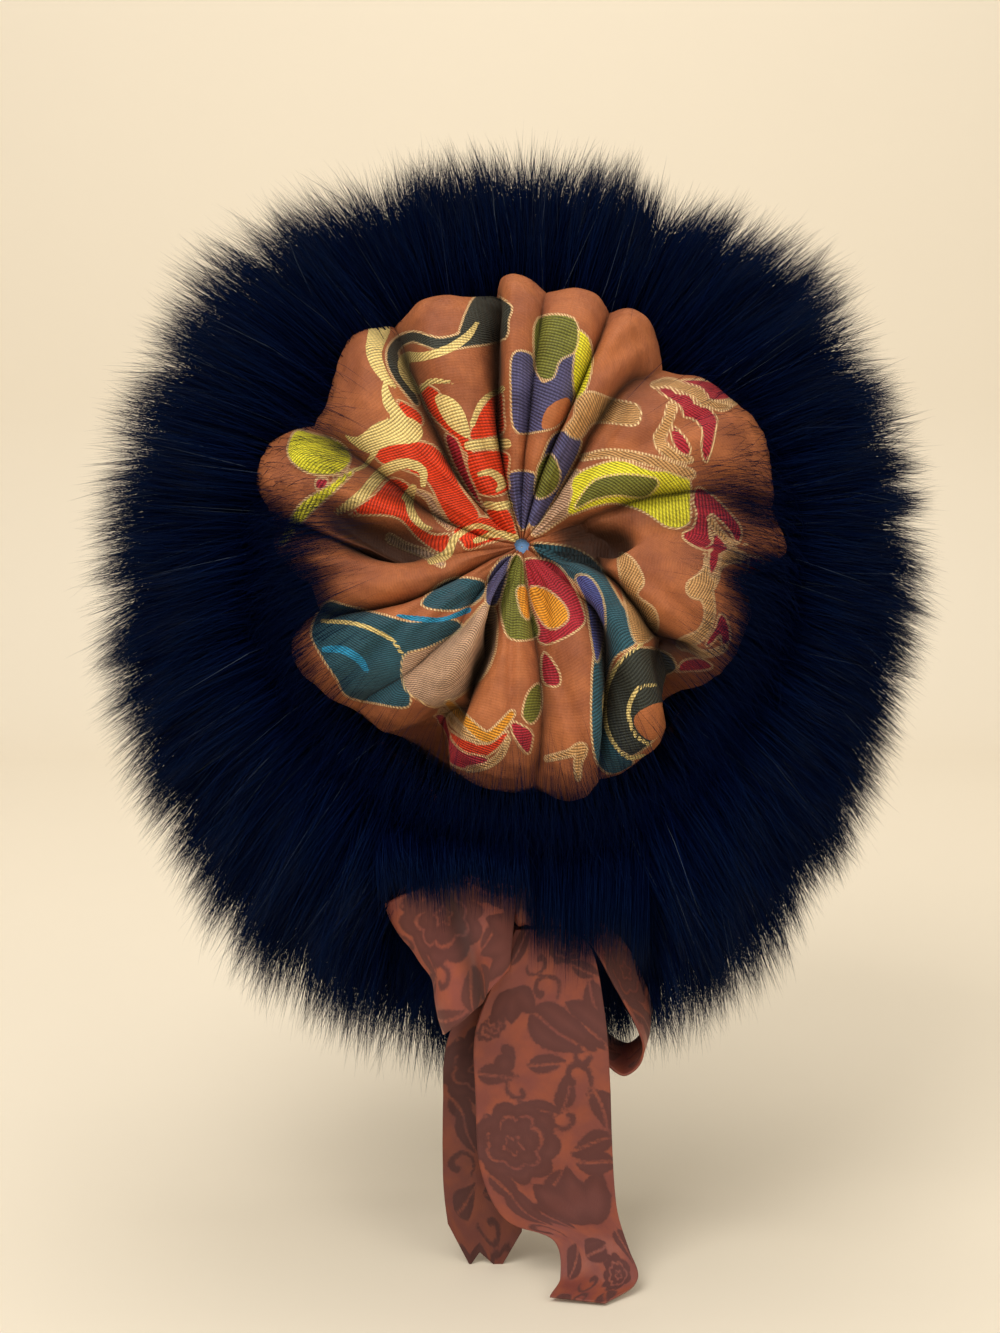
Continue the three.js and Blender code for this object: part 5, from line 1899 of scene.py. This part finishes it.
@dataclass(frozen=True)
class Coat:
    """The long fur: guard hairs, underfur, a veil over the bow's top and wisps over the crown's edge."""

    guard_count: int = 53000
    under_count: int = 76000
    sectors: int = 4
    clump_size: float = 4.6
    clump_pull: float = 0.26
    parting: float = 68.0
    parting_turn: float = 1.3
    parting_width: float = 5.0
    sways: tuple[tuple[float, int, float], ...] = ((24.0, 61, 3.2), (9.0, 62, 2.0))
    lean_sway: float = 0.04
    droop: float = 3.2
    tip_scatter: float = 2.0
    bend_share: float = 0.42
    sag_share: float = 0.10
    curl_share: float = 0.035
    nape_half_width: float = 62.0
    nape_front: float = -146.5
    nape_height: float = -100.0

    def roots(self, random: np.random.Generator, count: int) -> tuple[Array, Array]:
        """Angle round the hat and place round the section of each root, in radians."""
        angle = np.sort(random.uniform(0, 2 * math.pi, count))
        place = np.radians(random.uniform(-100, 140, count))
        return angle, place

    def tips(
        self, angle: Array, place: Array, reach_share: Array, lean_shift: Array
    ) -> tuple[Array, Array]:
        """Finds the ends of hairs that grow from the roll.

        Args:
            angle: of each root round the hat, in radians.
            place: of each root round the roll's section.
            reach_share: of the fur's full reach.
            lean_shift: added lean to the crown side, in degrees.
        Returns:
            Root and tip of each hair, in the leaned frame.
        """
        root = roll_point(angle, place, -1.0)
        table = np.array(FUR_LIE, dtype=float)
        share = np.interp(np.degrees(place), table[:, 0], table[:, 1])
        lean = np.radians(np.interp(np.degrees(place), table[:, 0], table[:, 2]) + lean_shift)
        turn = np.degrees(np.arctan2(root[..., 1], root[..., 0]))
        apart = (turn - self.parting + 180) % 360 - 180
        turn = turn + self.parting_turn * np.sign(apart) * np.exp(-((apart / self.parting_width) ** 2))
        for pitch, seed, size in self.sways:
            turn = turn + size * soft_noise(root, pitch, seed)
        lean = lean + self.lean_sway * soft_noise(root, 17.0, 63)
        turn = turn - self.droop * np.cos(np.radians(turn))
        keys, reaches = np.array(FUR_OUTLINE, dtype=float).T
        outline = read_table(keys, reaches, turn, 360.0)
        start = np.hypot(root[..., 0], root[..., 1])
        reach = start + (outline * share - start) * reach_share
        length = reach - start
        round_angle = np.radians(turn)
        tip = np.stack([
            reach * np.cos(round_angle), reach * np.sin(round_angle), root[..., 2] + length * np.tan(lean)
        ], axis=-1)
        return root, tip

    def grown(self, seed: int, count: int, knots: int, reach: tuple[float, float]) -> Array:
        """Hairs over the whole roll.

        Args:
            seed: of their random places.
            count: number of hairs.
            knots: points along each.
            reach: lowest and highest share of the full length.
        Returns:
            Points of shape (hairs, knots, 3) in the row frame.
        """
        random = np.random.default_rng(seed)
        angle, place = self.roots(random, count)
        lengths = random.uniform(*reach, count)
        root, tip = self.tips(angle, place, lengths, np.clip(random.normal(0, 5, count), -9, 9))
        cell = self.clump_size / 118
        column = np.floor(angle / cell)
        row = np.floor(place * 41 / self.clump_size + 0.5 * (column % 2))
        jitter = np.sin(column * 12.9898 + row * 78.233) * 43758.5453
        jitter = jitter - np.floor(jitter)
        middle_angle = (column + 0.2 + 0.6 * jitter) * cell
        middle_place = (row + 0.5 - 0.5 * (column % 2)) * self.clump_size / 41
        _, clump_tip = self.tips(middle_angle, middle_place, 0.88 + 0.12 * jitter, 14 * (jitter - 0.5))
        pull = self.clump_pull * random.uniform(0.3, 1.0, count)[:, None]
        tip = tip + (clump_tip - tip) * pull * np.minimum(1.0, lengths[:, None] + 0.1)
        tip = tip + random.normal(0, self.tip_scatter, tip.shape)
        outward = unit(roll_point(angle, place, 10.0) - root)
        span = np.linalg.norm(tip - root, axis=1, keepdims=True)
        bend = root + outward * span * self.bend_share
        root, bend, tip = (to_world(part) for part in (root, bend, tip))
        tip[:, 2] -= span[:, 0] * self.sag_share
        along, points = hair_curves(root, bend, tip, knots)
        curl = random.normal(0, 1.0, (count, 1, 3)) * np.sin(math.pi * along) * span[:, None]
        curl = curl * self.curl_share
        return self.pressed(points + curl)

    def pressed(self, points: Array) -> Array:
        """Keeps the fur behind the ribbon at the nape."""
        aside = np.abs(points[..., 0]) / self.nape_half_width
        under = smooth((self.nape_height - points[..., 2]) / 14.0) * smooth((1.12 - aside) / 0.14)
        front = np.maximum(points[..., 1], self.nape_front)
        points[..., 1] = mix(points[..., 1], front, under)
        return points

    def build(self, material: bpy.types.Material) -> None:
        """Makes every hair piece and puts it on the hat.

        Args:
            material: the fur's finish.
        """
        random = np.random.default_rng(3)
        guard = self.grown(11, self.guard_count, 4, (0.78, 1.02))
        under = self.grown(12, self.under_count, 3, (0.52, 0.96))
        sets = {
            "guard": Shafts(guard, random.uniform(0.24, 0.44, len(guard)), random.random(len(guard))),
            "under": Shafts(under, random.uniform(0.45, 0.7, len(under)), random.random(len(under)) * 0.9),
        }
        for name, shafts in sets.items():
            edges = np.linspace(0, len(shafts.width), self.sectors + 1).astype(int)
            for number, (start, stop) in enumerate(zip(edges[:-1], edges[1:])):
                made = shafts.part(start, stop).piece(f"fur_{name}_{number + 1}", 40 + number)
                made.dress(material, "fur", "fur_brim")
        for name, points, widest in (("veil", Veil().hairs(), 0.36), ("wisps", Wisps().hairs(), 0.3)):
            width = random.uniform(0.5, 1.0, len(points)) * widest
            shafts = Shafts(points, width, random.random(len(points)) * 0.95)
            shafts.piece(f"fur_{name}", 60).dress(material, "fur", "fur_brim")
        LOG.info("fur ready, %d hairs", sum(len(one.width) for one in sets.values()))


@dataclass(frozen=True)
class Lamp:
    """One soft studio light.

    Args:
        name: of the light.
        place: where it stands, in metres.
        aim: the point it faces, in metres.
        size: edge of its square face, in metres.
        power: in watts.
        colour: of its light.
    """

    name: str
    place: Point3
    aim: Point3
    size: float
    power: float
    colour: Colour

    def build(self) -> None:
        """Adds the light."""
        data = bpy.data.lights.new(self.name, "AREA")
        data.size = self.size
        data.energy = self.power
        data.color = self.colour
        lamp = bpy.data.objects.new(self.name, data)
        lamp.location = self.place
        lamp.rotation_euler = (Vector(self.aim) - Vector(self.place)).to_track_quat("-Z", "Y").to_euler()
        bpy.context.scene.collection.objects.link(lamp)


@dataclass(frozen=True)
class Studio:
    """Pale floor with a backdrop that curves up behind the hat, soft light, and the camera."""

    floor_reach: float = 1.6
    wall_place: float = 1.5
    wall_height: float = 2.2
    bend: float = 0.4
    half_width: float = 2.4
    wall: Colour = dye(232, 222, 204)
    world: Colour = dye(246, 240, 230)
    world_strength: float = 0.6
    lamps: tuple[Lamp, ...] = (
        Lamp("key", (-0.75, -1.2, 1.5), (0.0, 0.0, -0.02), 1.2, 24.0, (1.0, 0.96, 0.9)),
        Lamp("fill", (1.3, -1.2, 0.5), (0.0, 0.0, -0.05), 1.4, 9.0, (1.0, 0.94, 0.82)),
        Lamp("wash", (0.0, 0.6, 1.8), (0.0, 1.5, 0.1), 1.2, 8.0, (1.0, 0.95, 0.86)),
        Lamp("top", (0.1, 0.1, 1.6), (0.0, -0.05, 0.0), 1.2, 5.5, (1.0, 0.97, 0.92)),
    )

    def build(self, floor_height: float) -> None:
        """Adds floor, backdrop, lights, world and camera.

        Args:
            floor_height: height of the floor, in metres.
        """
        self.sweep(floor_height)
        for lamp in self.lamps:
            lamp.build()
        world = bpy.data.worlds.new("studio")
        world.use_nodes = True
        back = world.node_tree.nodes["Background"]
        back.inputs["Color"].default_value = (*self.world, 1.0)
        back.inputs["Strength"].default_value = self.world_strength
        scene = bpy.context.scene
        scene.world = world
        scene.view_settings.view_transform = "Standard"
        self.camera()

    def sweep(self, floor_height: float) -> None:
        """Makes the floor and the backdrop as one curved sheet.

        Args:
            floor_height: height of the floor, in metres.
        """
        turn = np.linspace(0, math.pi / 2, 20)
        bend_y = self.wall_place - self.bend + self.bend * np.sin(turn)
        bend_z = floor_height + self.bend * (1 - np.cos(turn))
        y = np.concatenate([[-self.floor_reach], bend_y, [self.wall_place]])
        z = np.concatenate([[floor_height], bend_z, [floor_height + self.wall_height]])
        x = np.array([-self.half_width, self.half_width])
        points = np.stack(np.broadcast_arrays(x[None, :], y[:, None], z[:, None]), axis=-1)
        piece = Piece("studio_sweep", points.reshape(-1, 3) / MM, grid_faces(len(y), 2, False))
        piece.mesh.materials.append(PlasterFinish("studio_paper", self.wall).material())
        piece.object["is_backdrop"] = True

    def camera(self) -> None:
        """Adds the camera at the photograph's angle."""
        data = bpy.data.cameras.new("camera")
        data.sensor_fit = "VERTICAL"
        data.sensor_height = SENSOR_HEIGHT
        data.lens = PHOTO_FOCAL / PHOTO_HEIGHT * SENSOR_HEIGHT
        data.clip_start = 0.01
        camera = bpy.data.objects.new("camera", data)
        camera.location = CAMERA_PLACE * MM
        camera.rotation_euler = (math.pi / 2 + CAMERA_PITCH, 0.0, 0.0)
        bpy.context.scene.collection.objects.link(camera)
        bpy.context.scene.camera = camera


def main() -> None:
    """Builds the hat's looks in order: studio, crown, lining, ribbon, fur."""
    logging.basicConfig(level=logging.INFO, format="%(relativeCreated)6d ms %(message)s")
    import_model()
    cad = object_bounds()
    Studio().build(cad[0].z)
    LOG.info("studio ready, floor at %.4f m", cad[0].z)
    crown = CrownCloth()
    cloth = crown.build().dress(BrocadeFinish().material(), "brocade", "brocade_crown")
    LOG.info("crown ready, %d faces", len(cloth.data.polygons))
    Lining().build().dress(LiningFinish().material(), "lining", "crown_lining")
    damask = DamaskFinish().material()
    for ribbon in (LEFT_LOOP, RIGHT_LOOP, FRONT_TAIL, BACK_TAIL):
        ribbon.build(damask)
    RibbonBand().build(damask)
    Knot().build(damask)
    LOG.info("ribbon ready")
    pelt = Pelt().build().dress(PeltFinish().material(), "fur", "fur_brim")
    Coat().build(FurFinish().material())


if __name__ == "__main__":
    main()
